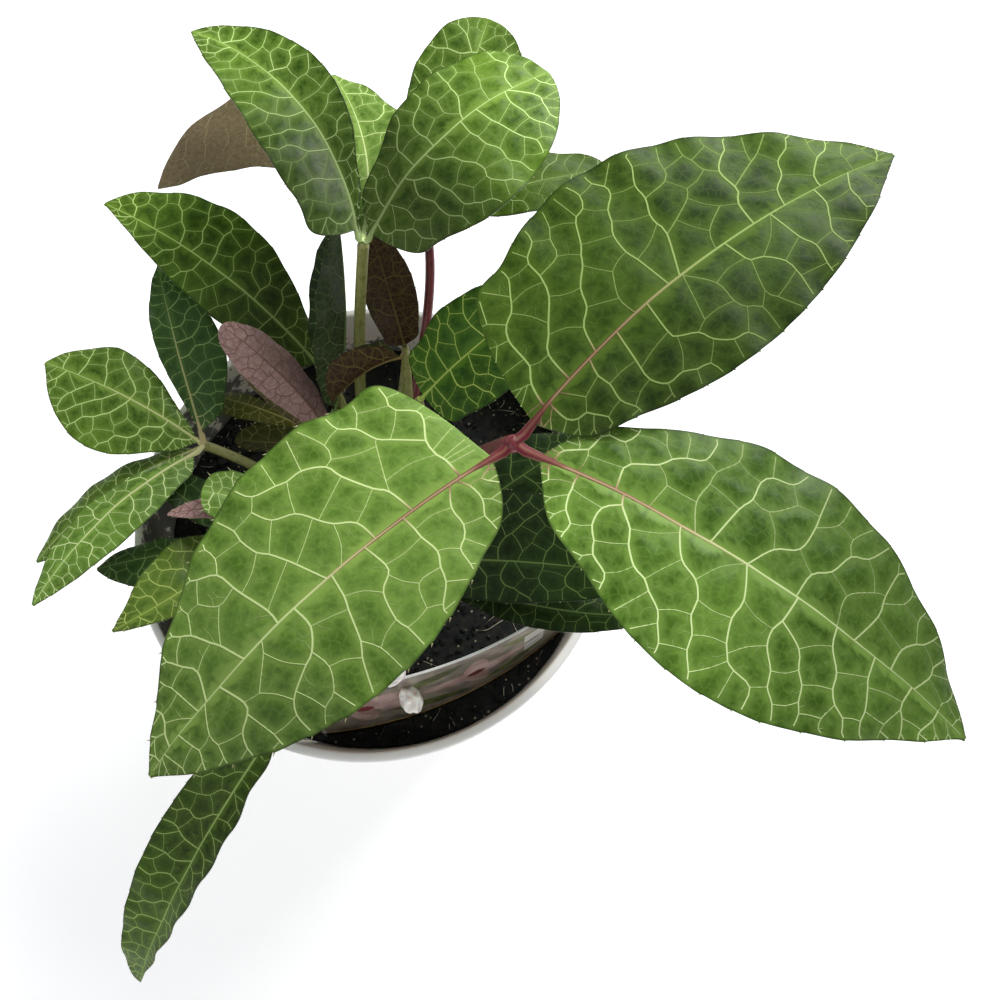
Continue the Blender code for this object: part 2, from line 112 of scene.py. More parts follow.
# Each leaf: where its petiole stands on the crown as an angle, the junction at its top, the
# petiole's radii, how far its path swings from the straight line, and its leaflets.
LEAVES = {
    "front_leaf": {
        "foot": 325, "lean": 2, "junction": (49, -27, 281), "radii": (2.3, 2.2), "swing": (-2, 8),
        "colour": "green_leaf",
        "leaflets": {
            "back": leaflet((139, 42, 292), (35, 25), (0.36, 0.46), (1.4, 1.8), bow=-6.6, arch=4,
                            fold=(7, 5), cup=(-8, -14)),
            "right": leaflet((149, -90, 262), (27, 29), (0.47, 0.47), (1.8, 2.1), bow=-3.0,
                             arch=9, fold=(6, 6), cup=(-16, -22)),
            "left": leaflet((-30, -98, 264), (26, 32), (0.46, 0.32), (1.8, 1.4), bow=3.9, arch=7,
                            fold=(4, 6), cup=(-20, -14)),
        },
    },
    "back_leaf": {
        "foot": 110, "lean": 58, "junction": (4, 62, 224), "radii": (2.1, 1.8), "swing": (-3, 12),
        "colour": "green_leaf",
        "leaflets": {
            "left": leaflet((-53, 135, 234), (19, 14), (0.38, 0.62), (1.35, 1.8), bow=11, arch=5,
                            roll=-8, fold=(4, 12), cup=(-6, 16)),
            "right": leaflet((61, 115, 238), (19, 29), (0.66, 0.5), (1.0, 1.3), bow=-5, arch=6,
                             fold=(6, 4), cup=(-12, -22)),
            "middle": leaflet((-12, 141, 208), (13, 17), (0.5, 0.45), (1.5, 1.5), bow=6, arch=0,
                              fold=(4, 4), start=2.6),
        },
    },
    "rear_leaf": {
        "foot": 70, "junction": (20, 92, 194), "radii": (2.0, 1.6), "swing": (10, 2),
        "colour": "green_leaf",
        "leaflets": {
            "left": leaflet((-69, 97, 205), (25, 9), (0.66, 0.5), (1.3, 1.4), bow=-17, arch=-8,
                            roll=180, fold=(-6, -10), cup=(16, 20)),
            "middle": leaflet((42, 152, 222), (19, 20), (0.6, 0.58), (1.3, 1.2), bow=1, arch=4,
                              fold=(8, 6)),
            "right": leaflet((84, 107, 202), (11, 11), (0.53, 0.6), (1.5, 1.6), bow=1, arch=5,
                             fold=(6, 6)),
        },
    },
    "side_leaf": {
        "foot": 130, "junction": (-18, 50, 162), "radii": (1.9, 1.6), "swing": (5, 3),
        "colour": "dark_leaf",
        "leaflets": {
            "outer": leaflet((-95, 104, 186), (14.5, 21), (0.41, 0.57), (1.8, 1.7), bow=4.2,
                             arch=6, fold=(-2, 8), cup=(4, -14)),
        },
    },
    "upright_leaf": {
        "foot": 151, "junction": (-14, 36.5, 156), "radii": (1.8, 1.5), "swing": (-1, -3),
        "colour": "dark_leaf",
        "leaflets": {
            "folded": leaflet((-6, 76, 214), (15, 14), (0.5, 0.5), (1.5, 1.5), bow=2, arch=-3,
                              roll=68, fold=(50, 52), cup=(4, 4)),
        },
    },
    "left_leaf": {
        "foot": 194, "junction": (-59, 22, 159), "radii": (2.0, 1.8), "swing": (-4, 6),
        "colour": "green_leaf",
        "leaflets": {
            "outer": leaflet((-115, 49, 170), (22, 15), (0.52, 0.62), (2.1, 2.2), bow=2, arch=3,
                             fold=(4, 0)),
            "upper": leaflet((-77, 85, 176), (7, 16), (0.58, 0.42), (2.3, 1.85), arch=5,
                             fold=(10, 4), cup=(-4, -12), start=3.4),
            "lower": leaflet((-117, -18, 149), (9, 8), (0.5, 0.5), (1.6, 1.6), bow=4, arch=4,
                             roll=6, fold=(-6, -16), cup=(-8, -20)),
            "rolled": leaflet((-107, -38, 168), (11, 9), (0.45, 0.55), (1.6, 1.9), bow=1,
                              arch=7, roll=-12, fold=(-6, 2), cup=(-20, -16), start=3.2),
        },
    },
    "bronze_leaf": {
        "foot": 172, "junction": (-15, 29, 147), "radii": (1.6, 1.3), "swing": (-2, 0),
        "colour": "young_leaf",
        "leaflets": {
            "mauve": leaflet((-45, 48, 199), (9, 9), (0.55, 0.6), (1.2, 1.4), bow=-2, arch=-3,
                             roll=180, fold=(14, 14), cup=(16, 16), start=3.3),
            "strap": leaflet((-49, 52, 167), (4, 4), (0.5, 0.5), (1.2, 1.2), arch=3, roll=24,
                             fold=(20, 4), cup=(10, -6)),
            "olive": leaflet((-58, 45, 150), (6, 4), (0.82, 0.75), (1.3, 1.5), arch=4,
                             fold=(6, -4), cup=(-20, -20), start=4.2),
            "cupped": leaflet((-53, 31, 143), (7, 8), (0.6, 0.6), (1.3, 1.3), arch=-2, roll=-12,
                              fold=(20, 10), cup=(20, 8), start=2.4),
        },
    },
    "low_leaf": {
        "foot": 240, "junction": (-42, -9, 144), "radii": (1.6, 1.4), "swing": (-2, 6),
        "colour": "bright_leaf",
        "leaflets": {
            "upper": leaflet((-80, 15, 156), (5, 10), (0.5, 0.4), (2.0, 1.5), bow=-2, arch=4,
                             fold=(16, 2), start=2.6),
            "middle": leaflet((-95, -21, 150), (12, 6), (0.5, 0.6), (1.6, 2.0), arch=4,
                              fold=(2, -6), start=2.4),
            "lower": leaflet((-83, -45, 160), (8, 16), (0.4, 0.42), (1.4, 2.0), bow=-3, arch=5,
                             fold=(6, 14), cup=(-10, -16)),
        },
    },
    "toothed_leaf": {
        "foot": 216, "junction": (-29, -3, 159), "radii": (1.4, 1.2), "swing": (-4, 2),
        "colour": "young_leaf",
        "leaflets": {
            "upper": leaflet((-54, 0, 173), (9, 9), (0.6, 0.6), (0.9, 0.9), arch=2,
                             fold=(6, 6)),
            "pink": leaflet((-67, -6, 166), (4, 4), (0.5, 0.5), (1.6, 1.6), bow=-2, arch=0,
                            roll=180, fold=(-10, -10), start=3.4),
        },
    },
    "drooping_leaf": {
        "foot": 266, "junction": (-24, -70, 154), "radii": (1.9, 1.6), "swing": (-4, 14),
        "colour": "dark_leaf",
        "leaflets": {
            "only": leaflet((-85, -159, 88), (8, 16), (0.4, 0.42), (1.8, 1.0), bow=-0.5, arch=15,
                            fold=(20, 8), cup=(20, 4)),
        },
    },
    "sunlit_leaf": {
        "foot": 28, "junction": (19, 27, 186), "radii": (1.8, 1.6), "swing": (4, -2),
        "colour": "bright_leaf",
        "leaflets": {
            "back": leaflet((65, 52, 218), (17, 18), (0.4, 0.4), (1.3, 1.3), arch=5, roll=-4,
                            fold=(8, 6)),
        },
    },
    "inner_leaf": {
        "foot": 292, "junction": (13, -24, 171), "radii": (1.9, 1.7), "swing": (2, 4),
        "colour": "dark_leaf",
        "leaflets": {
            "middle": leaflet((94, -38, 202), (23, 13), (0.42, 0.42), (1.5, 1.3), bow=-1, arch=5,
                              fold=(8, 4)),
            "back": leaflet((72, 14, 185), (13, 12), (0.62, 0.5), (2.2, 1.7), arch=2,
                            fold=(4, -8), cup=(-8, -16)),
            "front": leaflet((95, -45, 184), (9, 7), (0.55, 0.55), (1.8, 1.6), bow=5, arch=0,
                             fold=(-8, 4), start=3.1),
        },
    },
    "young_leaf": {
        "foot": 90, "junction": (12, 56, 168), "radii": (1.7, 1.4), "swing": (3, 4),
        "colour": "young_leaf",
        "leaflets": {
            "upright": leaflet((3, 80, 206), (9, 9), (0.5, 0.5), (1.1, 1.1), arch=-3, roll=180,
                               fold=(-10, -10), cup=(-10, -10)),
        },
    },
    "curled_leaf": {
        "foot": 49, "junction": (15, 41.5, 192), "radii": (1.7, 1.4), "swing": (0, 4),
        "colour": "young_leaf",
        "leaflets": {
            "only": leaflet((-10.5, 29.5, 180), (10, 9), (0.5, 0.42), (1.1, 1.1), arch=5,
                            fold=(95, 16), cup=(60, -8)),
        },
    },
}


# Finishes of the blades, sRGB: the deep and the pale lamina, the zone beside the veins, the
# veins, the underside and its veins; then the roughness. Several are lit and shaded copies of
# one green. shade and the tone after it are darker copies, painted shade for leaves lying among
# the others; bright and lime are more saturated copies, painted light shining through sunlit
# leaves; pale is a lighter, greyer green, partly painted sky sheen. The underside of mauve is
# its own mauve drawn lighter, painted light where that leaflet lies in shade.
LEAF_TONES = {
    "deep": ("#223a02", "#3c580e", "#628028", "#acc670", "#54683e", "#96a676", 0.44),
    "quilted": ("#38580e", "#567826", "#80a248", "#cee29c", "#627a4a", "#b0bc8c", 0.42),
    "pale": ("#466818", "#628632", "#90b052", "#d6ea9e", "#70885a", "#bac89a", 0.45),
    "fresh": ("#2a4a04", "#4e6e16", "#7a983e", "#bed888", "#5e7646", "#aab882", 0.4),
    "bright": ("#183a02", "#2c5408", "#567c1e", "#a8be5a", "#60783c", "#aab878", 0.4),
    "lime": ("#365610", "#547220", "#7c963c", "#bed26e", "#6e8446", "#b2c082", 0.42),
    "shade": ("#122606", "#20380e", "#385220", "#748e4a", "#3c4e2c", "#6c7c4e", 0.42),
    "half_shade": ("#162e0a", "#264014", "#3c5626", "#6c844c", "#465834", "#788858", 0.42),
    "olive": ("#303808", "#464c14", "#5e5e24", "#969254", "#382616", "#645438", 0.46),
    "mauve": ("#545632", "#6e6842", "#867654", "#b09e7e", "#ac8c86", "#7e5a52", 0.5),
    "bronze": ("#1e2e08", "#323e12", "#545428", "#847846", "#3e2a18", "#706032", 0.48),
    "taupe": ("#3c5422", "#546c36", "#6e824c", "#aab27e", "#6e6046", "#7e7452", 0.5),
}

# How each leaflet looks: its tone, the breadth of the cells between its veins, how far it
# swells there, the red of its stalk from 0 to 1, the length of its spines, and its painted light
# and shade: how much lighter or darker its colour is drawn at its stalk and its tip (ends), and
# at its left and right margins (sides), where light falls on it more or less and neighbouring
# leaves shade it.
LOOKS = {
    "front_leaf_back": {"tone": "deep", "cell": 7.4, "quilt": 0.25, "red": 1.0,
                        "ends": (0.75, 0.95), "sides": (1.35, 0.8)},
    "front_leaf_right": {"tone": "quilted", "cell": 7.8, "quilt": 0.55, "red": 1.0,
                         "ends": (1.2, 0.7), "sides": (0.75, 1.2)},
    "front_leaf_left": {"tone": "pale", "cell": 7.8, "quilt": 0.35, "red": 1.0, "spine": 1.0,
                        "ends": (1.05, 0.75), "sides": (0.9, 1.1)},
    "back_leaf_left": {"tone": "fresh", "cell": 5.9, "ends": (0.5, 1.4), "sides": (0.85, 1.15)},
    "back_leaf_right": {"tone": "fresh", "cell": 6.3, "quilt": 0.4, "ends": (0.4, 1.6)},
    "back_leaf_middle": {"tone": "pale", "cell": 5.9, "ends": (1.0, 1.3)},
    "rear_leaf_left": {"tone": "taupe", "cell": 5.9, "quilt": 0.2},
    "rear_leaf_middle": {"tone": "fresh", "cell": 5.9, "ends": (1.1, 1.2)},
    "rear_leaf_right": {"tone": "fresh", "cell": 5.9, "ends": (0.7, 0.75)},
    "side_leaf_outer": {"tone": "deep", "cell": 6.7, "ends": (0.45, 1.5)},
    "upright_leaf_folded": {"tone": "shade", "cell": 5.5, "ends": (0.8, 0.6)},
    "left_leaf_outer": {"tone": "fresh", "cell": 5.5, "red": 0.35},
    "left_leaf_upper": {"tone": "half_shade", "cell": 5.1, "red": 0.35, "ends": (1.3, 1.4)},
    "left_leaf_lower": {"tone": "fresh", "cell": 4.7, "red": 0.35, "ends": (0.7, 0.8)},
    "left_leaf_rolled": {"tone": "quilted", "cell": 4.7, "red": 0.35},
    "bronze_leaf_mauve": {"tone": "mauve", "cell": 4.3, "quilt": 0.15},
    "bronze_leaf_strap": {"tone": "mauve", "cell": 3.9, "quilt": 0.15},
    "bronze_leaf_olive": {"tone": "olive", "cell": 3.9, "quilt": 0.15, "spine": 1.0},
    "bronze_leaf_cupped": {"tone": "bronze", "cell": 3.9, "quilt": 0.15, "spine": 1.0},
    "low_leaf_upper": {"tone": "half_shade", "cell": 4.7},
    "low_leaf_middle": {"tone": "half_shade", "cell": 4.7},
    "low_leaf_lower": {"tone": "lime", "cell": 5.1, "ends": (0.7, 0.8)},
    "toothed_leaf_upper": {"tone": "quilted", "cell": 3.3, "quilt": 0.2, "spine": 1.6},
    "toothed_leaf_pink": {"tone": "mauve", "cell": 3.5, "quilt": 0.1},
    "drooping_leaf_only": {"tone": "deep", "cell": 5.9, "ends": (0.65, 1.05)},
    "sunlit_leaf_back": {"tone": "bright", "cell": 5.9},
    "inner_leaf_middle": {"tone": "shade", "cell": 5.5, "ends": (0.5, 0.7)},
    "inner_leaf_back": {"tone": "shade", "cell": 5.5, "ends": (0.5, 0.7)},
    "inner_leaf_front": {"tone": "shade", "cell": 5.1, "ends": (0.5, 0.7)},
    "young_leaf_upright": {"tone": "bronze", "cell": 4.7, "quilt": 0.15, "ends": (0.7, 0.8)},
    "curled_leaf_only": {"tone": "bronze", "cell": 4.3, "quilt": 0.15, "ends": (0.8, 0.7)},
}
USUAL_LOOK = {"quilt": 0.3, "red": 0.0, "spine": 0.45, "ends": (1.0, 1.0),
              "sides": (1.0, 1.0)}

# The drawn blade: its thickness, the spacing of its grid and of the points on its veins, and
# the millimetres that one unit of its flat pattern's UV map stands for.
HALF_THICKNESS = 0.25
GRID_STEP = 0.9
VEIN_STEP = 1.4
UV_MM = 100.0
# The light layer is painted light and shade: a factor on the blade's colour, lighter where light
# falls and darker where it is shaded.
BLADE_LAYERS = ("halo", "vein", "edge", "under", "red", "spine", "light")

# Settings that several nodes share.
COLOUR_MIX = {"data_type": "RGBA"}
TINT = {"data_type": "RGBA", "blend_type": "MULTIPLY"}
SOFT_STEP = {"interpolation_type": "SMOOTHSTEP"}
TIMES = {"operation": "MULTIPLY"}


def linear(hex_colour):
    """An sRGB hex value as a linear colour with alpha."""
    channels = [int(hex_colour[i:i + 2], 16) / 255.0 for i in (1, 3, 5)]
    return (*[c / 12.92 if c <= 0.04045 else ((c + 0.055) / 1.055) ** 2.4 for c in channels], 1.0)


def add_node(tree, kind, settings=None, inputs=None, output=0):
    """Adds a node and returns one of its outputs. settings are the node's own properties, and
    inputs gives each of its inputs a value or the socket that feeds it."""
    made = tree.nodes.new("ShaderNode" + kind)
    for key, value in (settings or {}).items():
        setattr(made, key, value)
    for key, value in (inputs or {}).items():
        if isinstance(value, bpy.types.NodeSocket):
            tree.links.new(value, made.inputs[key])
        else:
            made.inputs[key].default_value = value
    return made.outputs[output]


def new_material(name, roughness, **values):
    """A material with its shader's even values set; returns it, its tree and its shader."""
    made = bpy.data.materials.new(name)
    made.use_nodes = True
    shader = made.node_tree.nodes["Principled BSDF"]
    shader.inputs["Roughness"].default_value = roughness
    for key, value in values.items():
        shader.inputs[key.replace("_", " ")].default_value = value
    return made, made.node_tree, shader


def finish_material(tree, shader, colour, height, strength, depth_mm, roughness=None):
    """Joins a colour, a relief and a roughness to the shader."""
    tree.links.new(colour, shader.inputs["Base Color"])
    if roughness is not None:
        tree.links.new(roughness, shader.inputs["Roughness"])
    relief = add_node(tree, "Bump", None, {"Strength": strength, "Distance": depth_mm * MM,
                                           "Height": height})
    tree.links.new(relief, shader.inputs["Normal"])


def leaf_material(tone):
    """Living hellebore leaf, leathery and lightly waxed. It gives the eye a satin green with a
    fine grain, pale yellow-green veins with a lighter zone beside them, a darker line round
    the margin and creamy spines."""
    deep, pale, zone, vein, under, under_vein, roughness = LEAF_TONES[tone]
    made, tree, shader = new_material("leathery_leaf_" + tone, roughness, IOR=1.45,
                                      Specular_IOR_Level=0.2)
    own = {name: add_node(tree, "Attribute", {"attribute_name": name}, None, "Fac")
           for name in BLADE_LAYERS}
    place = add_node(tree, "TexCoord", None, None, "Object")
    flat = add_node(tree, "TexCoord", None, None, "UV")
    # Patches about 25 mm across and a grain of 1.4 mm.
    patches = add_node(tree, "TexNoise", None, {"Vector": place, "Scale": 40.0, "Detail": 3.0})
    grain = add_node(tree, "TexNoise", None, {"Vector": place, "Scale": 700.0, "Detail": 3.0,
                                              "Roughness": 0.65})
    # The net of the finest veins has meshes of about 2.2 mm.
    mesh = add_node(tree, "TexVoronoi", {"feature": "DISTANCE_TO_EDGE"},
                    {"Vector": flat, "Scale": UV_MM / 2.2}, "Distance")
    net = add_node(tree, "MapRange", SOFT_STEP, {"Value": mesh, "From Max": 0.16,
                                                 "To Min": 1.0, "To Max": 0.0})
    patchy = add_node(tree, "MapRange", SOFT_STEP,
                      {"Value": patches, "From Min": 0.35, "From Max": 0.68})
    speckle = add_node(tree, "MapRange", SOFT_STEP, {"Value": grain, "From Min": 0.3,
                                                     "From Max": 0.72, "To Min": 0.84,
                                                     "To Max": 1.16})
    core = add_node(tree, "MapRange", SOFT_STEP, {"Value": own["vein"], "From Min": 0.25,
                                                  "From Max": 0.75})
    rim = add_node(tree, "MapRange", SOFT_STEP, {"Value": own["edge"], "From Min": 0.45,
                                                 "To Max": 0.55})
    face = add_node(tree, "Mix", COLOUR_MIX, {0: patchy, 6: linear(deep), 7: linear(pale)}, 2)
    faint = add_node(tree, "Math", TIMES, {0: net, 1: 0.16})
    face = add_node(tree, "Mix", COLOUR_MIX, {0: faint, 6: face, 7: linear(zone)}, 2)
    face = add_node(tree, "Mix", TINT, {0: 1.0, 6: face, 7: speckle}, 2)
    beside = add_node(tree, "Math", TIMES, {0: own["halo"], 1: 0.9})
    face = add_node(tree, "Mix", COLOUR_MIX, {0: beside, 6: face, 7: linear(zone)}, 2)
    face = add_node(tree, "Mix", COLOUR_MIX, {0: rim, 6: face, 7: linear("#1a280c")}, 2)
    # The stalk reddens in two steps, first to a tan cream and then to wine.
    blush = add_node(tree, "MapRange", SOFT_STEP, {"Value": own["red"], "From Max": 0.6})
    wine = add_node(tree, "MapRange", SOFT_STEP, {"Value": own["red"], "From Min": 0.3})
    ribs = add_node(tree, "Mix", COLOUR_MIX,
                    {0: blush, 6: linear(vein), 7: linear("#b89a74")}, 2)
    ribs = add_node(tree, "Mix", COLOUR_MIX, {0: wine, 6: ribs, 7: linear("#6c1c2c")}, 2)
    face = add_node(tree, "Mix", COLOUR_MIX, {0: core, 6: face, 7: ribs}, 2)
    faint = add_node(tree, "Math", TIMES, {0: net, 1: 0.35})
    back = add_node(tree, "Mix", COLOUR_MIX, {0: faint, 6: linear(under),
                                              7: linear(under_vein)}, 2)
    back = add_node(tree, "Mix", TINT, {0: 1.0, 6: back, 7: speckle}, 2)
    back = add_node(tree, "Mix", COLOUR_MIX, {0: core, 6: back, 7: linear(under_vein)}, 2)
    colour = add_node(tree, "Mix", COLOUR_MIX, {0: own["under"], 6: face, 7: back}, 2)
    colour = add_node(tree, "Mix", COLOUR_MIX, {0: own["spine"], 6: colour,
                                                7: linear("#b9b684")}, 2)
    # Painted light and shade: the colour is multiplied by the light layer.
    colour = add_node(tree, "Mix", TINT, {0: 1.0, 6: colour, 7: own["light"]}, 2)
    wax = add_node(tree, "MapRange", None, {"Value": grain, "From Min": 0.3, "From Max": 0.7,
                                            "To Min": roughness - 0.05,
                                            "To Max": roughness + 0.07})
    height = add_node(tree, "Math", {"operation": "MULTIPLY_ADD"}, {0: net, 1: -0.35, 2: grain})
    finish_material(tree, shader, colour, height, 0.24, 0.12, wax)
    return made


def half_outline(v, half_width, widest, fullness):
    """The half width of the blade at a share v of its length."""
    blade_v = max(0.0, (v - STALK_SHARE) / (1.0 - STALK_SHARE))
    rise = fullness * widest
    fall = fullness * (1.0 - widest)
    peak = widest ** rise * (1.0 - widest) ** fall
    blade = half_width * blade_v ** rise * max(0.0, 1.0 - blade_v) ** fall / peak
    return math.hypot(blade, STALK_HALF_WIDTH if v < 0.5 else TIP_HALF_WIDTH)


def petiole_path(leaf, points=9):
    """The centre line of a petiole: out of the crown's top, then over to the junction."""
    angle = math.radians(leaf["foot"])
    lean = math.radians(leaf.get("lean", FOOT_LEAN))
    outwards = Vector((math.cos(angle), math.sin(angle), 0.0))
    crown_top = SOIL_TOP + SOIL_CROWN + GAP + CROWN_HEIGHT
    foot = Vector((*CROWN_CENTRE, crown_top + GAP)) + outwards * FOOT_RING_RADIUS
    foot.z += leaf["radii"][0] * math.sin(lean + math.radians(FOOT_MARGIN))
    top = Vector(leaf["junction"])
    leave = outwards * math.sin(lean) + Vector((0.0, 0.0, math.cos(lean)))
    near_foot = foot + leave * 0.3 * (top - foot).length
    near_top = top - (top - foot) * 0.3 + Vector((*leaf["swing"], 0.0))
    path = []
    for index in range(points):
        t = index / (points - 1)
        s = 1.0 - t
        path.append(foot * s ** 3 + near_foot * 3 * s * s * t + near_top * 3 * s * t * t
                    + top * t ** 3)
    return path


def leaflet_base(leaf, shape):
    """Where the stalk begins: just clear of the petiole's end, on the line to the tip."""
    path = petiole_path(leaf)
    top = path[-1]
    rise = (top - path[-2]).normalized()
    direction = (Vector(shape["tip"]) - top).normalized()
    up = direction.dot(rise)
    out = math.sqrt(max(1.0 - up * up, 0.0))
    half = BLADE_THICKNESS / 2.0
    over = (GAP + half * out) / up if up > 0.2 else math.inf
    beside = (leaf["radii"][1] + GAP + half * abs(up)) / out if out > 0.2 else math.inf
    return top + direction * max(min(over, beside), shape["start"])


class Blade:
    """The middle surface of one leaflet: u runs from -1 at the left margin to 1 at the right
    one and v from 0 at the stalk to 1 at the tip, or x and y in the flat pattern."""

    def __init__(self, shape, base, look, rng):
        self.shape = shape
        self.look = look
        self.base = base
        self.axis = Vector(shape["tip"]) - base
        self.length = self.axis.length
        self.forward = self.axis.normalized()
        self.level = self.forward.cross(Vector((0.0, 0.0, 1.0))).normalized()
        self.phases = (rng.uniform(0.0, math.tau), rng.uniform(0.0, math.tau))
        self.wave = rng.uniform(15.0, 19.0)
        self.drift = Vector((rng.uniform(0.0, 50.0), rng.uniform(0.0, 50.0), 0.0))

    def margin(self, half, y):
        """The half width in the flat pattern; half is 0 on the left and 1 on the right."""
        shape = self.shape
        v = min(max(y / self.length, 0.0), 1.0)
        fuller = 1.0 + 0.42 * math.exp(-((v - 0.07) / 0.08) ** 2)
        return fuller * half_outline(v, shape["half_widths"][half], shape["widest"][half],
                                     shape["fullness"][half])

    def point(self, u, v):
        shape = self.shape
        roll = math.radians(shape["roll"] + shape["twist"] * (v - 0.5))
        side = Matrix.Rotation(roll, 3, -self.forward) @ self.level
        up = side.cross(self.forward)
        hump = 4.0 * v * (1.0 - v)
        half = 0 if u < 0 else 1
        width = self.margin(half, v * self.length)
        lift = math.radians(shape["fold"][half] + shape["cup"][half] * abs(u) / 2.0)
        midrib = (self.base + self.axis * v + up * (shape["arch"] * hump)
                  + side * (shape["bow"] * hump))
        return midrib + side * (u * width * math.cos(lift)) + up * (abs(u) * width
                                                                    * math.sin(lift))

    def light(self, x, y):
        """Painted light and shade at a place of the flat pattern, a factor on the leaf's colour.
        """
        ends, sides = self.look["ends"], self.look["sides"]
        v = min(max((y / self.length - 0.25) / 0.6, 0.0), 1.0)
        u = min(max(x / max(self.margin(int(x > 0), y), 1.0), -1.0), 1.0)
        along = ends[0] + (ends[1] - ends[0]) * v * v * (3.0 - 2.0 * v)
        return along * (sides[0] + (sides[1] - sides[0]) * (u + 1.0) / 2.0)

    def sway(self, u, v):
        """The unevenness of a grown blade: soft waves, higher towards the margin."""
        x, y = u * 20.0, v * self.length
        half = 0 if u < 0 else 1
        size = min(1.0, max(self.shape["half_widths"]) / 16.0) * min(1.0, 12.0 * v * (1.0 - v))
        ripple = math.sin(math.tau * y / self.wave + self.phases[half]) * abs(u) ** 3
        swell = noise.noise(Vector((x, y, 0.0)) / 17.0 + self.drift)
        return size * (0.6 * ripple + 0.9 * swell)

    def frame(self, x, y):
        """Place and upward direction at a place of the flat pattern."""
        half = 0 if x < 0 else 1
        v = y / self.length
        u = x / max(self.margin(half, y), 0.3)
        step = 0.02 if u < 0.5 else -0.02
        here = self.point(u, v)
        across = (self.point(u + step, v) - here) / step if abs(u) > 0.03 else (
            self.point(0.03, v) - self.point(-0.03, v))
        along = self.point(u, v + 0.01) - self.point(u, v - 0.01)
        up = across.cross(along).normalized()
        return here + up * self.sway(u, v), up


def scatter_cells(rng, blade, half, cell):
    """Middles of the cells between the veins of one half of the flat pattern, none too near
    another; the cells are smaller towards the margin, the stalk and the tip."""
    length = blade.length
    widest = max(blade.margin(half, length * step / 24.0) for step in range(25))
    cells = []
    for _ in range(int(60.0 * length * widest / cell ** 2)):
        y = rng.uniform(STALK_SHARE, 0.985) * length
        reach = blade.margin(half, y)
        x = rng.uniform(0.06, 0.95) * reach
        room = cell * (1.0 - 0.45 * (x / reach) ** 2) * min(1.0, 0.4 + 0.8 * reach / widest)
        if all((x - a) ** 2 + (y - b) ** 2 > room * room for a, b in cells):
            cells.append((x, y))
    return cells


def cell_borders(blade, half, cells, cell):
    """The borders between the cells: their corners, and for each corner the ones it meets."""
    length = blade.length
    points = [Vector(place) for place in cells]
    points += [Vector((-x, y)) for x, y in cells if x < 2.0 * cell]
    points += [Vector((2.0 * blade.margin(half, y) - x, y)) for x, y in cells
               if blade.margin(half, y) - x < 2.0 * cell]
    points += [Vector((x * length, y * length)) for x in (-2.0, 2.0) for y in (-2.0, 3.0)]
    made = delaunay_2d_cdt(points, [], [], 0, 1e-5)
    places, triangles = made[0], made[2]
    corners, sharing = [], {}
    for number, (i, j, k) in enumerate(triangles):
        a, b, c = places[i], places[j], places[k]
        twice = 2.0 * ((b - a).x * (c - a).y - (b - a).y * (c - a).x)
        ab, ac = (b - a).length_squared, (c - a).length_squared
        corners.append(a + Vector((((c - a).y * ab - (b - a).y * ac),
                                   ((b - a).x * ac - (c - a).x * ab))) / twice)
        for pair in ((i, j), (j, k), (k, i)):
            sharing.setdefault(frozenset(pair), []).append(number)

    def inside(place):
        return (-0.03 * cell < place.x < 0.965 * blade.margin(half, place.y)
                and 0.02 * length < place.y < 0.985 * length)

    kept = {number for number, place in enumerate(corners) if inside(place)}
    links = {number: set() for number in kept}
    for pair in [numbers for numbers in sharing.values() if len(numbers) == 2]:
        a, b = pair
        if a in kept and b in kept:
            if max(corners[a].x, corners[b].x) > 0.05 * cell:
                links[a].add(b)
                links[b].add(a)
        elif (a in kept) != (b in kept):
            start, end = (a, b) if a in kept else (b, a)
            low, high = 0.0, 1.0
            for _ in range(10):
                middle = (low + high) / 2.0
                spot = corners[start].lerp(corners[end], middle)
                low, high = (middle, high) if inside(spot) else (low, middle)
            spot = corners[start].lerp(corners[end], low)
            if spot.x > 0.05 * cell and (spot - corners[start]).length > 0.6:
                corners.append(spot)
                links[len(corners) - 1] = {start}
                links[start].add(len(corners) - 1)
    return corners, links


def lead_veins(rng, blade, half, corners, links, cell):
    """Picks the borders that become veins leaving the midrib: the cheapest way out to every
    corner, where going forwards and outwards costs least. Returns each corner's parent and
    the number of corners it feeds."""
    roots = sorted((n for n in links if corners[n].x < 0.05 * cell), key=lambda n: corners[n].y)
    cost, parent, queue = {}, {}, []
    last = -math.inf
    for root in roots:
        strong = corners[root].y - last > 1.15 * cell
        last = corners[root].y if strong else last
        heapq.heappush(queue, (0.0 if strong else 1.3 * cell, rng.random(), root, None))
    order = []
    while queue:
        so_far, _, node, before = heapq.heappop(queue)
        if node in cost:
            continue
        cost[node], parent[node] = so_far, before
        order.append(node)
        share = corners[node].x / blade.margin(half, corners[node].y)
        angle = math.radians(62.0 - 34.0 * share)
        wish = Vector((math.sin(angle), math.cos(angle)))
        for other in links[node]:
            if other not in cost:
                way = corners[other] - corners[node]
                straight = way.normalized().dot(wish) if way.length > 1e-6 else 1.0
                heapq.heappush(queue, (so_far + way.length * (1.0 + 2.4 * (1.0 - straight)),
                                       rng.random(), other, node))
    feeds = {node: 1 for node in order}
    for node in reversed(order):
        if parent[node] is not None:
            feeds[parent[node]] += feeds[node]
    return order, parent, feeds


def smooth_run(points, step):
    """Points at even steps on a curve through (x, y, width) places."""
    run = []
    count = len(points)
    for index in range(count - 1):
        a, b = points[max(index - 1, 0)], points[index]
        c, d = points[index + 1], points[min(index + 2, count - 1)]
        pieces = max(1, round(math.dist(b[:2], c[:2]) / step))
        for piece in range(pieces):
            t = piece / pieces
            run.append(tuple(
                0.5 * (2 * q + (r - p) * t + (2 * p - 5 * q + 4 * r - s) * t * t
                       + (3 * q - p - 3 * r + s) * t ** 3)
                for p, q, r, s in zip(a, b, c, d)))
    run.append(tuple(points[-1]))
    return run


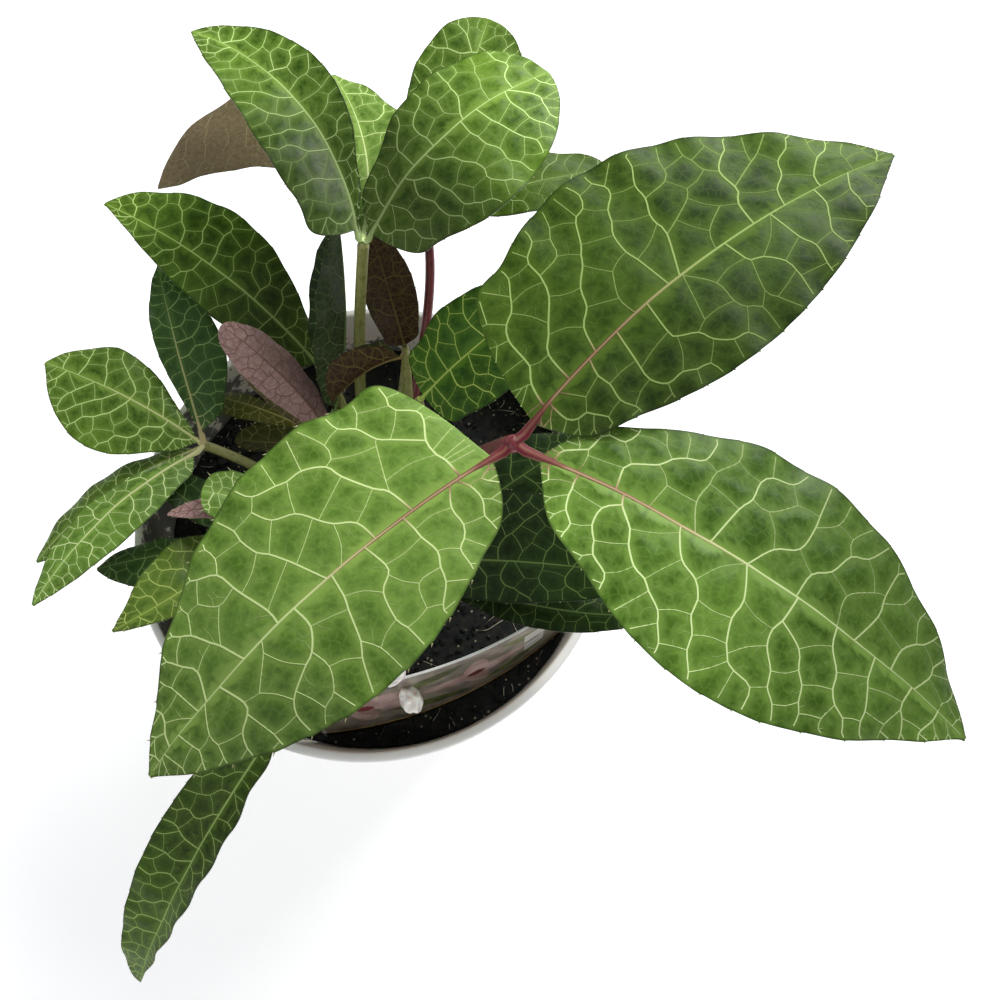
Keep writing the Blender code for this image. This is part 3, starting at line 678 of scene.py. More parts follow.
def grow_veins(rng, blade, half, cell):
    """The veins of one half as runs of (x, y, half width) in the flat pattern, strongest
    first, and the free ends that stop inside the cells."""
    cells = scatter_cells(rng, blade, half, cell)
    corners, links = cell_borders(blade, half, cells, cell)
    order, parent, feeds = lead_veins(rng, blade, half, corners, links, cell)
    best = {}
    for node in order:
        before = parent[node]
        if before is not None and feeds[node] > feeds.get(best.get(before), 0):
            best[before] = node
    eased = {}
    for node in order:
        if parent[node] is not None and node in best:
            middle = (corners[parent[node]] + corners[best[node]]) / 2.0
            eased[node] = corners[node].lerp(middle, 0.3)
    for node, place in eased.items():
        corners[node] = place

    def width(node):
        return 0.13 + 0.025 * math.sqrt(feeds[node])

    runs = []
    for node in order:
        before = parent[node]
        if before is None or (parent[before] is not None and best[before] == node):
            continue
        chain = [(*corners[before], width(node))]
        while node is not None:
            chain.append((*corners[node], width(node)))
            node = best.get(node)
        runs.append(smooth_run(chain, VEIN_STEP))
    for node in order:
        for other in sorted(links[node]):
            if node < other and other in parent and node != parent[other] \
                    and other != parent[node]:
                a, b = corners[node], corners[other]
                bend = (b - a).orthogonal() * rng.uniform(-0.09, 0.09)
                middle = (a + b) / 2.0 + bend
                runs.append(smooth_run([(*a, 0.135), (*middle, 0.125), (*b, 0.135)], VEIN_STEP))
    ends = []
    for run in list(runs):
        for x, y, _ in run[2:-1:3]:
            if rng.random() < 0.5 and cells:
                near = min(cells, key=lambda c: (c[0] - x) ** 2 + (c[1] - y) ** 2)
                way = Vector(near) - Vector((x, y))
                start = Vector((x, y))
                reach = start + way * rng.uniform(0.45, 0.85)
                bend = start + way * 0.4 + way.orthogonal() * rng.uniform(-0.25, 0.25)
                ends.append([(*start, 0.1), (*bend, 0.09), (*reach, 0.05)])
    return runs, ends


def add_tube(bm, rings, sides, turn=0.0):
    """A closed tube through rings of (centre, side, up), where side and up are as long as the
    tube is wide and high there. It comes to a point at both ends. Returns each vertex with
    its ring and its angle."""
    first, last = rings[0], rings[-1]
    none = Vector((0.0, 0.0, 0.0))
    rings = [(first[0], none, none), *rings, (last[0], none, none)]
    made = bmesh.ops.create_grid(bm, x_segments=sides, y_segments=len(rings) - 1, size=1.0)
    placed = []
    for vert in made["verts"]:
        index = round((vert.co.y + 1.0) / 2.0 * (len(rings) - 1))
        angle = turn + round((vert.co.x + 1.0) / 2.0 * sides) % sides * math.tau / sides
        centre, side, up = rings[index]
        vert.co = (centre + side * math.cos(angle) + up * math.sin(angle)) * MM
        placed.append((vert, min(max(index - 1, 0), len(rings) - 3), angle))
    return placed


def add_vein(bm, layers, blade, run, sign, height, red, pale=1.0, sides=4):
    """One vein as a low ridge that shows on both faces of the blade."""
    rings = []
    places = [blade.frame(x * sign, y) for x, y, _ in run]
    spread = 2.6 if sides == 4 else 1.65
    for index, (place, up) in enumerate(places):
        before = places[max(index - 1, 0)][0]
        after = places[min(index + 1, len(places) - 1)][0]
        side = (after - before).cross(up).normalized()
        # Only the top of the ridge stands proud, so it is drawn wider than it shows.
        rings.append((place, side * (run[index][2] * spread), up * (HALF_THICKNESS + height)))
    for vert, index, angle in add_tube(bm, rings, sides):
        x, y, _ = run[index]
        vert[layers["vein"]] = pale
        vert[layers["under"]] = 0.5 - 0.5 * math.sin(angle)
        vert[layers["red"]] = red * max(0.0, 1.0 - x / 4.5) * max(0.0, 1.0 - y / 55.0)
        # Painted light and shade of the blade at this place.
        vert[layers["light"]] = blade.light(x * sign, y)


def add_midrib(bm, layers, blade, red, junction):
    """The midrib: pale, tapering, with a red-brown middle towards the stalk, where it grows
    into the round stalk of the leaflet."""
    steps = max(16, int(blade.length / 2.2))
    rings, shares = [], []
    foot = junction + blade.forward * 0.3 + Vector((0.0, 0.0, 1.1))
    size = 0.45 + 0.0026 * blade.length
    for index in range(-1, steps + 1):
        v = max(index, 0) / steps * 0.985
        place, up = blade.frame(0.0, max(v, 0.004) * blade.length)
        forward = blade.point(0.0, v + 0.01) - blade.point(0.0, v - 0.01)
        side = forward.cross(up).normalized()
        stalk = max(0.0, 1.0 - v / (2.5 * STALK_SHARE))
        wide = size * (1.0 - 0.8 * v) * (1.05 + 0.75 * stalk)
        high = HALF_THICKNESS + 0.12 + 0.45 * size * (1.0 - v) ** 2 * (0.4 + 0.9 * stalk)
        rings.append((foot if index < 0 else place, side * wide, up * high))
        shares.append(v)
    for vert, index, angle in add_tube(bm, rings, 8):
        near = min(1.0, max(0.0, 1.6 - shares[index] * blade.length / 40.0))
        middle = max(0.0, math.sin(angle)) ** 3
        stalk = max(0.0, 1.0 - shares[index] / (2.6 * STALK_SHARE))
        vert[layers["vein"]] = 1.0
        vert[layers["under"]] = (0.5 - 0.5 * math.sin(angle)) * (1.0 - stalk)
        beside = max(0.0, math.sin(2.0 * angle) * math.copysign(1.0, math.cos(angle)))
        tint = near * (0.4 * middle + beside) + 1.6 * stalk
        vert[layers["red"]] = red * min(0.75 + 0.25 * beside, tint)
        # Painted light and shade of the blade along the midrib.
        vert[layers["light"]] = blade.light(0.0, shares[index] * blade.length)


def add_spine(bm, layers, place, direction, length, light):
    """One hard tooth of the margin."""
    lie = direction.to_track_quat("Z", "Y").to_matrix().to_4x4()
    matrix = (Matrix.Translation((place + direction * length * 0.4) * MM) @ lie)
    made = bmesh.ops.create_cone(bm, cap_ends=True, segments=6, radius1=0.22 * MM,
                                 radius2=0.03 * MM, depth=length * MM, matrix=matrix)
    for vert in made["verts"]:
        vert[layers["spine"]] = 1.0
        # Painted light and shade of the blade at the spine's foot.
        vert[layers["light"]] = light


def make_leaflet(name, leaf, shape, finish):
    look = {**USUAL_LOOK, **LOOKS[name]}
    rng = random.Random(name)
    blade = Blade(shape, leaflet_base(leaf, shape), look, rng)
    bm = bmesh.new()
    layers = {key: bm.verts.layers.float.new(key) for key in BLADE_LAYERS}
    flat = bm.loops.layers.uv.new("flat")
    halves = [grow_veins(rng, blade, half, look["cell"]) for half in (0, 1)]

    samples = [(x * sign, y, w) for sign, (runs, _) in zip((-1, 1), halves)
               for run in runs for x, y, w in run]
    samples += [(x * sign, y, w) for sign, (_, ends) in zip((-1, 1), halves)
                for run in ends for x, y, w in smooth_run(run, VEIN_STEP)]
    samples += [(0.0, blade.length * step / 90.0, 0.6) for step in range(91)]
    tree = kdtree.KDTree(len(samples))
    for index, (x, y, _) in enumerate(samples):
        tree.insert((x, y, 0.0), index)
    tree.balance()

    teeth = []
    for half in (0, 1):
        y = rng.uniform(0.1, 0.16) * blade.length
        row = [y]
        while y < 0.9 * blade.length:
            y += rng.uniform(6.0, 10.0) * min(1.0, 0.4 + blade.length / 120.0)
            row.append(min(y, 0.95 * blade.length))
        teeth.append(row)

    def saw(half, y):
        """How far the margin stands out on its way to the next tooth."""
        row = teeth[half]
        for before, after in zip(row, row[1:]):
            if before < y <= after:
                return 0.35 * look["spine"] * ((y - before) / (after - before)) ** 2
        return 0.0

    left, right = [max(4, math.ceil(w / GRID_STEP)) for w in shape["half_widths"]]
    rows = max(24, math.ceil(blade.length / GRID_STEP))
    bmesh.ops.create_grid(bm, x_segments=left + right, y_segments=rows, size=1.0)
    pattern = {}
    for vert in bm.verts:
        column = round((vert.co.x + 1.0) / 2.0 * (left + right)) - left
        t = (vert.co.y + 1.0) / 2.0
        v = t - 0.045 * math.sin(math.tau * t)
        u = column / left if column < 0 else column / right
        half = 0 if u < 0 else 1
        y = v * blade.length
        reach = blade.margin(half, y)
        x = u * reach
        pattern[vert] = (x, y)
        spot, index, far = tree.find((x, y, 0.0))
        width = samples[index][2]
        vert[layers["halo"]] = (math.exp(-(far / (1.0 + 3.2 * width)) ** 2)
                                * min(1.0, 0.3 + 2.2 * width))
        vert[layers["edge"]] = math.exp(-((reach - abs(x)) / 0.8) ** 2)
        # Painted light and shade, a factor on the colour.
        vert[layers["light"]] = blade.light(x, y)
        inner = min(1.0, (reach - abs(x)) / 5.0)
        swell = look["quilt"] * (1.0 - math.exp(-(far / 2.2) ** 2)) * inner
        out = u * (1.0 + saw(half, y) * abs(u) ** 10 / max(reach, 2.0))
        vert.co = blade.point(out, v) * MM
        vert[layers["red"]] = blade.sway(u, v) + swell
    for vert, (x, y) in pattern.items():
        for loop in vert.link_loops:
            loop[flat].uv = (x / UV_MM + blade.phases[0], y / UV_MM + blade.phases[1])
    bm.normal_update()
    raised = {vert: (vert.normal.copy(), vert[layers["red"]]) for vert in bm.verts}
    made = bmesh.ops.extrude_face_region(bm, geom=list(bm.faces), use_keep_orig=True)
    lower = [item for item in made["geom"] if isinstance(item, bmesh.types.BMVert)]
    places = {tuple(vert.co): raised[vert] for vert in raised}
    for vert in lower:
        normal, height = places[tuple(vert.co)]
        vert.co = vert.co + normal * ((height - HALF_THICKNESS) * MM)
        vert[layers["under"]] = 1.0
        vert[layers["red"]] = 0.0
    for vert, (normal, height) in raised.items():
        vert.co = vert.co + normal * ((height + HALF_THICKNESS) * MM)
        vert[layers["red"]] = 0.0

    for sign, (runs, ends) in zip((-1, 1), halves):
        for run in runs:
            strong = max(w for _, _, w in run) > 0.19
            if strong:
                add_vein(bm, layers, blade, run, sign, 0.17, look["red"], sides=6)
            else:
                add_vein(bm, layers, blade, run, sign, 0.14, look["red"], 0.64)
        for run in ends:
            add_vein(bm, layers, blade, smooth_run(run, VEIN_STEP), sign, 0.1, 0.0, 0.5)
    add_midrib(bm, layers, blade, look["red"], Vector(leaf["junction"]))
    for half, row in enumerate(teeth):
        sign = 2 * half - 1
        for y in row[1:]:
            v = y / blade.length
            reach = blade.margin(half, y)
            edge = blade.point(sign * (1.0 + 0.3 * look["spine"] / max(reach, 2.0)), v)
            inner = blade.point(sign * 0.9, v)
            outwards = (edge - inner).normalized() * 0.75 + blade.forward
            lift = blade.frame(sign * reach * 0.98, y)[1] * blade.sway(sign, v)
            add_spine(bm, layers, edge + lift, outwards.normalized(), look["spine"],
                      blade.light(sign * reach, y))
    bmesh.ops.remove_doubles(bm, verts=bm.verts, dist=0.001 * MM)
    bmesh.ops.recalc_face_normals(bm, faces=bm.faces)
    return add_piece(name + "_blade", bm, finish, leaf["colour"], name + "_leaflet")


def add_piece(name, bm, finish, slot, *nodes, smooth_angle=50.0):
    """Makes the object of a bmesh, with its finish, and hands it to the frame."""
    mesh = bpy.data.meshes.new(name)
    bm.to_mesh(mesh)
    bm.free()
    obj = bpy.data.objects.new(name, mesh)
    bpy.context.scene.collection.objects.link(obj)
    mesh.materials.append(finish)
    mesh.shade_smooth()
    mesh.set_sharp_from_angle(angle=math.radians(smooth_angle))
    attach(obj, "root")
    if nodes:
        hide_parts(*nodes)
    return obj


# Petioles
PETIOLE_TONES = {"petiole": ("#565e20", "#8c8e4e", "#64501f"),
                 "red_petiole": ("#4a1c12", "#76282e", "#341210")}
RED_PETIOLES = ("front_leaf", "rear_leaf")


def petiole_material(slot):
    """Fleshy leaf stalk, smooth skin drawn along its fibres. It gives the eye a soft sheen,
    olive or wine-brown, darker towards the foot and with fine lengthwise streaks."""
    low, high, freckle = PETIOLE_TONES[slot]
    made, tree, shader = new_material("leaf_stalk_skin_" + slot, 0.4, IOR=1.45,
                                      Coat_Weight=0.2, Coat_Roughness=0.25)
    own = add_node(tree, "Attribute", {"attribute_name": "along"}, None, "Fac")
    place = add_node(tree, "TexCoord", None, None, "Object")
    # Streaks 0.5 mm wide and about 12 mm long, near enough upright.
    stretched = add_node(tree, "Mapping", None, {"Vector": place, "Scale": (1.0, 1.0, 0.05)})
    streaks = add_node(tree, "TexNoise", None, {"Vector": stretched, "Scale": 1800.0,
                                                "Detail": 2.0})
    spots = add_node(tree, "TexNoise", None, {"Vector": place, "Scale": 600.0, "Detail": 2.0})
    amount = add_node(tree, "MapRange", SOFT_STEP, {"Value": spots, "From Min": 0.52,
                                                    "From Max": 0.7, "To Max": 0.7})
    bands = add_node(tree, "MapRange", None, {"Value": streaks, "From Min": 0.3,
                                              "From Max": 0.7, "To Min": 0.85,
                                              "To Max": 1.12})
    colour = add_node(tree, "Mix", COLOUR_MIX, {0: own, 6: linear(low), 7: linear(high)}, 2)
    colour = add_node(tree, "Mix", COLOUR_MIX, {0: amount, 6: colour, 7: linear(freckle)}, 2)
    colour = add_node(tree, "Mix", TINT, {0: 1.0, 6: colour, 7: bands}, 2)
    finish_material(tree, shader, colour, streaks, 0.3, 0.1)
    return made


def make_petiole(name, leaf, finish, slot):
    """A petiole with its sheath at the foot and the knot where the leaflets meet."""
    bm = bmesh.new()
    along = bm.verts.layers.float.new("along")
    path = petiole_path(leaf, 33)
    last = len(path) - 1
    rings = []
    for index, place in enumerate(path):
        t = index / last
        way = (path[min(index + 1, last)] - path[max(index - 1, 0)]).normalized()
        side = way.cross(Vector((0.0, 1.0, 0.0))).normalized()
        radius = leaf["radii"][0] * (1.0 - t) + leaf["radii"][1] * t
        sheath = 0.35 * math.exp(-(t * (path[-1] - path[0]).length / 7.0) ** 2)
        knot = 0.05 * math.exp(-((1.0 - t) * (path[-1] - path[0]).length / 3.0) ** 2)
        radius *= 1.0 + sheath + knot
        rings.append((place, side * radius, way.cross(side) * radius * 0.93))
    for vert, index, _ in add_tube(bm, rings, 16):
        vert[along] = index / last
    knob = bmesh.ops.create_icosphere(bm, subdivisions=3, radius=1.0)["verts"]
    size = leaf["radii"][1] * 0.95
    for vert in knob:
        bump = 1.0 + 0.12 * noise.noise(vert.co * 2.3 + path[-1])
        vert.co = (path[-1] + Vector((vert.co.x, vert.co.y, vert.co.z * 0.85)) * size * bump) * MM
        vert[along] = 1.0
    bmesh.ops.remove_doubles(bm, verts=bm.verts, dist=0.001 * MM)
    bmesh.ops.recalc_face_normals(bm, faces=bm.faces)
    return add_piece(name + "_stalk", bm, finish, slot, name + "_petiole")


# Pot
POT_STEPS = 144


def inner_radius(height):
    """The pot's inside radius at a height below the rim."""
    share = height / (POT_HEIGHT - RIM_HEIGHT)
    return BASE_RADIUS + (RIM_RADIUS - RIM_STEP - BASE_RADIUS) * share - WALL


def lathe(profile, segments, centre=(0.0, 0.0)):
    """A closed solid of revolution from a (radius, height) profile that starts and ends on
    the axis."""
    bm = bmesh.new()
    verts = [bm.verts.new((radius * MM, 0.0, height * MM)) for radius, height in profile]
    edges = [bm.edges.new(pair) for pair in zip(verts, verts[1:])]
    bmesh.ops.spin(bm, geom=verts + edges, cent=(0.0, 0.0, 0.0), axis=(0.0, 0.0, 1.0),
                   angle=math.tau, steps=segments, use_merge=True)
    bmesh.ops.remove_doubles(bm, verts=bm.verts, dist=0.01 * MM)
    bmesh.ops.translate(bm, verts=bm.verts, vec=(centre[0] * MM, centre[1] * MM, 0.0))
    bmesh.ops.recalc_face_normals(bm, faces=bm.faces)
    return bm


def pot_material():
    """White polypropylene, injection-moulded and satin. It gives the eye a slightly warm
    white with a fine mould grain, faint flow streaks and a dusting of peat low inside, carried
    higher up the left of the inside wall as painted shade."""
    made, tree, shader = new_material("moulded_white_polypropylene", 0.38, IOR=1.49,
                                      Subsurface_Weight=0.08, Subsurface_Scale=1.5 * MM)
    place = add_node(tree, "TexCoord", None, None, "Object")
    grain = add_node(tree, "TexNoise", None, {"Vector": place, "Scale": 2500.0, "Detail": 2.0})
    dust = add_node(tree, "TexNoise", None, {"Vector": place, "Scale": 170.0, "Detail": 6.0,
                                             "Roughness": 0.7})
    height = add_node(tree, "SeparateXYZ", None, {"Vector": place}, "Z")
    inside = add_node(tree, "Attribute", {"attribute_name": "inside"}, None, "Fac")
    # Peat splashes thin out over the 20 mm above the soil.
    # Painted shade: left of x = -45 mm the dark dusting reaches up to 20 mm higher, darkening
    # that part of the inside wall as if it lay in shadow.
    side = add_node(tree, "SeparateXYZ", None, {"Vector": place}, "X")
    painted_shade_left = add_node(tree, "MapRange", SOFT_STEP, {"Value": side, "From Min": -0.045,
                                                   "From Max": -0.07, "To Max": 0.02})
    height = add_node(tree, "Math", {"operation": "SUBTRACT"}, {0: height, 1: painted_shade_left})
    low = add_node(tree, "MapRange", SOFT_STEP, {"Value": height, "From Min": 0.142,
                                                 "From Max": 0.118, "To Min": 0.30,
                                                 "To Max": 0.62})
    peat_dust_and_shade = add_node(tree, "Math", {"operation": "SUBTRACT"}, {0: low, 1: dust})
    peat_dust_and_shade = add_node(tree, "MapRange", SOFT_STEP, {"Value": peat_dust_and_shade, "From Max": 0.07,
                                                    "To Max": 0.8})
    peat_dust_and_shade = add_node(tree, "Math", TIMES, {0: peat_dust_and_shade, 1: inside})
    body = add_node(tree, "Mix", COLOUR_MIX, {0: inside, 6: linear("#ecebe6"),
                                              7: linear("#efeade")}, 2)
    colour = add_node(tree, "Mix", COLOUR_MIX, {0: peat_dust_and_shade, 6: body, 7: linear("#1d1914")}, 2)
    finish_material(tree, shader, colour, grain, 0.15, 0.05)
    return made


def make_pot():
    """The pot, with a rounded rim, a bead under it and six drain holes."""
    body_top = POT_HEIGHT - RIM_HEIGHT
    foot_inner = BASE_RADIUS - FLOOR_RING_WIDTH
    floor = FLOOR_LIFT + FLOOR_THICKNESS
    slope = DIMPLE_RADIUS + FLOOR_LIFT
    rim = [(RIM_RADIUS - 2.0 + 1.2 * math.cos(a), POT_HEIGHT - 1.2 + 1.2 * math.sin(a))
           for a in [math.radians(d) for d in (170, 140, 115, 90)]]
    rim += [(RIM_RADIUS - 1.2 + 1.2 * math.cos(a), POT_HEIGHT - 1.2 + 1.2 * math.sin(a))
            for a in [math.radians(d) for d in (90, 65, 40, 15, 0)]]
    profile = [
        (0.0, FLOOR_THICKNESS), (DIMPLE_RADIUS - 1.0, FLOOR_THICKNESS), (slope - 1.0, floor),
        (inner_radius(floor) - 3.0, floor), (inner_radius(floor + 1.0) - 0.9, floor + 0.9),
        (inner_radius(floor + 3.0), floor + 3.0), (inner_radius(70.0), 70.0),
        (inner_radius(120.0), 120.0), (inner_radius(body_top), body_top), *rim,
        (RIM_RADIUS, POT_HEIGHT - 4.0), (RIM_RADIUS - 0.4, body_top + 0.6),
        (RIM_RADIUS - 0.8, body_top), (RIM_RADIUS - RIM_STEP + 0.3, body_top),
        (RIM_RADIUS - RIM_STEP - 0.1, body_top - 1.0),
        (BASE_RADIUS + 0.9, 3.2), (BASE_RADIUS + 0.6, 1.5), (BASE_RADIUS - 0.1, 0.4),
        (BASE_RADIUS - 0.9, 0.0), (foot_inner, 0.0), (foot_inner - 3.0, FLOOR_LIFT),
        (slope, FLOOR_LIFT), (DIMPLE_RADIUS, 0.0), (0.0, 0.0),
    ]
    bm = lathe(profile, POT_STEPS)
    inside = bm.verts.layers.float.new("inside")
    for vert in bm.verts:
        reach = math.hypot(vert.co.x, vert.co.y) / MM
        if vert.co.z > floor * 0.9 * MM and reach < inner_radius(vert.co.z / MM) + 0.4:
            vert[inside] = 1.0
    pot = add_piece("nursery_pot", bm, pot_material(), "pot", "pot", smooth_angle=35.0)
    cutters = []
    for index in range(DRAIN_HOLES):
        angle = math.tau * (index + 0.5) / DRAIN_HOLES
        reach = DRAIN_RING_RADIUS * MM
        place = Matrix.Translation((reach * math.cos(angle), reach * math.sin(angle),
                                    FLOOR_LIFT * MM))
        cutter_bm = bmesh.new()
        bmesh.ops.create_cone(cutter_bm, cap_ends=True, segments=32,
                              radius1=DRAIN_HOLE_RADIUS * MM, radius2=DRAIN_HOLE_RADIUS * MM,
                              depth=12.0 * MM, matrix=place)
        mesh = bpy.data.meshes.new("drain_cutter")
        cutter_bm.to_mesh(mesh)
        cutter_bm.free()
        cutter = bpy.data.objects.new("drain_cutter", mesh)
        bpy.context.scene.collection.objects.link(cutter)
        cut = pot.modifiers.new("drain", "BOOLEAN")
        cut.operation, cut.solver, cut.object = "DIFFERENCE", "EXACT", cutter
        cutters.append(cutter)
    bpy.context.view_layer.update()
    evaluated = pot.evaluated_get(bpy.context.evaluated_depsgraph_get())
    drained = bpy.data.meshes.new_from_object(evaluated)
    pot.modifiers.clear()
    pot.data = drained
    for cutter in cutters:
        bpy.data.objects.remove(cutter)
    return pot


# Soil
SOIL_RINGS = 56
SOIL_SPOKES = 180
CRUMBS = 1500
FIBRES = 130


def soil_height(x, y):
    """The soil's surface at a place: a low mound with lumps and grains."""
    reach = math.hypot(x, y)
    share = min(reach / (inner_radius(SOIL_TOP) - GAP), 1.0)
    mound = SOIL_TOP + SOIL_CROWN * (1.0 - share ** 2) - 1.2 * share ** 6
    here = Vector((x, y, 0.0))
    return (mound + 1.1 * noise.noise(here / 14.0) + 0.7 * noise.noise(here / 4.5)
            + 0.45 * noise.noise(here / 1.6))


def soil_material():
    """Damp milled peat. It gives the eye a near black crumb with brown fibre dust and pale
    specks of perlite and lime."""
    made, tree, shader = new_material("damp_milled_peat", 0.9, IOR=1.4)
    place = add_node(tree, "TexCoord", None, None, "Object")
    clods = add_node(tree, "TexNoise", None, {"Vector": place, "Scale": 350.0, "Detail": 5.0,
                                              "Roughness": 0.7})
    # Specks 0.4 to 0.8 mm across, few and far between.
    specks = add_node(tree, "TexVoronoi", None, {"Vector": place, "Scale": 620.0}, "Distance")
    which = add_node(tree, "TexVoronoi", None, {"Vector": place, "Scale": 620.0}, "Color")
    shade = add_node(tree, "SeparateColor", None, {"Color": which}, "Red")
    rare = add_node(tree, "Math", {"operation": "GREATER_THAN"}, {0: shade, 1: 0.88})
    dot = add_node(tree, "Math", {"operation": "LESS_THAN"}, {0: specks, 1: 0.28})
    dots = add_node(tree, "Math", TIMES, {0: rare, 1: dot})
    amount = add_node(tree, "MapRange", SOFT_STEP, {"Value": clods, "From Min": 0.4,
                                                    "From Max": 0.68})
    colour = add_node(tree, "Mix", COLOUR_MIX, {0: amount, 6: linear("#0f1415"),
                                                7: linear("#28241d")}, 2)
    colour = add_node(tree, "Mix", COLOUR_MIX, {0: dots, 6: colour, 7: linear("#8f8b74")}, 2)
    finish_material(tree, shader, colour, clods, 0.8, 0.6)
    return made


def fibre_material():
    """Dry peat fibre and rootlets: matt, straw-white to grey, darker where they are damp."""
    made, tree, shader = new_material("dry_root_fibre", 0.85, IOR=1.4)
    place = add_node(tree, "TexCoord", None, None, "Object")
    damp = add_node(tree, "TexNoise", None, {"Vector": place, "Scale": 220.0, "Detail": 3.0})
    amount = add_node(tree, "MapRange", SOFT_STEP, {"Value": damp, "From Min": 0.4,
                                                    "From Max": 0.62})
    colour = add_node(tree, "Mix", COLOUR_MIX, {0: amount, 6: linear("#b9b3a0"),
                                                7: linear("#5d5344")}, 2)
    finish_material(tree, shader, colour, damp, 0.4, 0.1)
    return made


def make_soil():
    """The peat's body, its crumbs and its fibres."""
    floor = FLOOR_LIFT + FLOOR_THICKNESS + GAP
    edge = inner_radius(SOIL_TOP) - GAP
    profile = [(edge * (SOIL_RINGS - ring) / SOIL_RINGS, SOIL_TOP)
               for ring in range(SOIL_RINGS, -1, -1)]
    profile += [(inner_radius(SOIL_TOP - 3.0) - GAP, SOIL_TOP - 3.0),
                (inner_radius(floor + 3.2) - GAP, floor + 3.2),
                (inner_radius(floor) - 3.6, floor), (DIMPLE_RADIUS + FLOOR_LIFT - 1.4, floor),
                (DIMPLE_RADIUS - 1.4, floor - FLOOR_LIFT), (0.0, floor - FLOOR_LIFT)]
    bm = lathe(profile, SOIL_SPOKES)
    for vert in bm.verts:
        if vert.co.z > (SOIL_TOP - 0.01) * MM:
            vert.co.z = soil_height(vert.co.x / MM, vert.co.y / MM) * MM
    peat = soil_material()
    add_piece("peat", bm, peat, "soil", "soil", smooth_angle=180.0)

    rng = random.Random("crumbs")
    bm = bmesh.new()
    for _ in range(CRUMBS):
        reach = (edge - 2.0) * math.sqrt(rng.random())
        angle = rng.uniform(0.0, math.tau)
        x, y = reach * math.cos(angle), reach * math.sin(angle)
        size = rng.choice((0.5, 0.7, 0.9, 1.3, 1.9))
        crumb = bmesh.ops.create_icosphere(bm, subdivisions=1, radius=size)["verts"]
        turn = Matrix.Rotation(rng.uniform(0.0, math.tau), 3, Vector((rng.random(), rng.random(),
                                                                      0.3)).normalized())
        stretch = Matrix.Diagonal((rng.uniform(0.8, 1.6), 1.0, rng.uniform(0.5, 0.9)))
        middle = Vector((x, y, soil_height(x, y) + 0.15 * size))
        for vert in crumb:
            vert.co *= 1.0 + 0.35 * noise.noise(vert.co * 2.0 + middle)
            vert.co = (middle + turn @ (stretch @ vert.co)) * MM
    add_piece("peat_crumbs", bm, peat, "soil", smooth_angle=30.0)

    bm = bmesh.new()
    for _ in range(FIBRES):
        # Most fibres lie in the outer half, where watering leaves them.
        reach = (edge - 2.0) * rng.random() ** 0.25
        angle = rng.uniform(0.0, math.tau)
        way = rng.uniform(0.0, math.tau)
        length = rng.uniform(4.0, 13.0)
        bend = rng.uniform(-1.3, 1.3)
        radius = rng.uniform(0.08, 0.2)
        x, y = reach * math.cos(angle), reach * math.sin(angle)
        places = []
        for step in range(8):
            if math.hypot(x, y) < edge - 1.0:
                places.append(Vector((x, y, soil_height(x, y) + 0.35)))
            way += bend / 7.0 + rng.uniform(-0.25, 0.25)
            x += length / 7.0 * math.cos(way)
            y += length / 7.0 * math.sin(way)
        if len(places) < 3:
            continue
        rings = []
        for index, place in enumerate(places):
            along = places[min(index + 1, len(places) - 1)] - places[max(index - 1, 0)]
            side = along.cross(Vector((0.0, 0.0, 1.0))).normalized()
            rings.append((place, side * radius, Vector((0.0, 0.0, radius))))
        add_tube(bm, rings, 5)
    bmesh.ops.remove_doubles(bm, verts=bm.verts, dist=0.001 * MM)
    bmesh.ops.recalc_face_normals(bm, faces=bm.faces)
    add_piece("peat_fibres", bm, fibre_material(), "soil", smooth_angle=180.0)


# Crown
def crown_material():
    """Woody rhizome with dry bud scales: brown, matt and cracked along its growth."""
    made, tree, shader = new_material("woody_rhizome", 0.8, IOR=1.4)
    place = add_node(tree, "TexCoord", None, None, "Object")
    drawn = add_node(tree, "Mapping", None, {"Vector": place, "Scale": (1.0, 1.0, 0.25)})
    bark = add_node(tree, "TexNoise", None, {"Vector": drawn, "Scale": 450.0, "Detail": 6.0,
                                             "Roughness": 0.7})
    amount = add_node(tree, "MapRange", SOFT_STEP, {"Value": bark, "From Min": 0.35,
                                                    "From Max": 0.65})
    colour = add_node(tree, "Mix", COLOUR_MIX, {0: amount, 6: linear("#2b1c12"),
                                                7: linear("#6d5233")}, 2)
    finish_material(tree, shader, colour, bark, 0.8, 0.7)
    return made


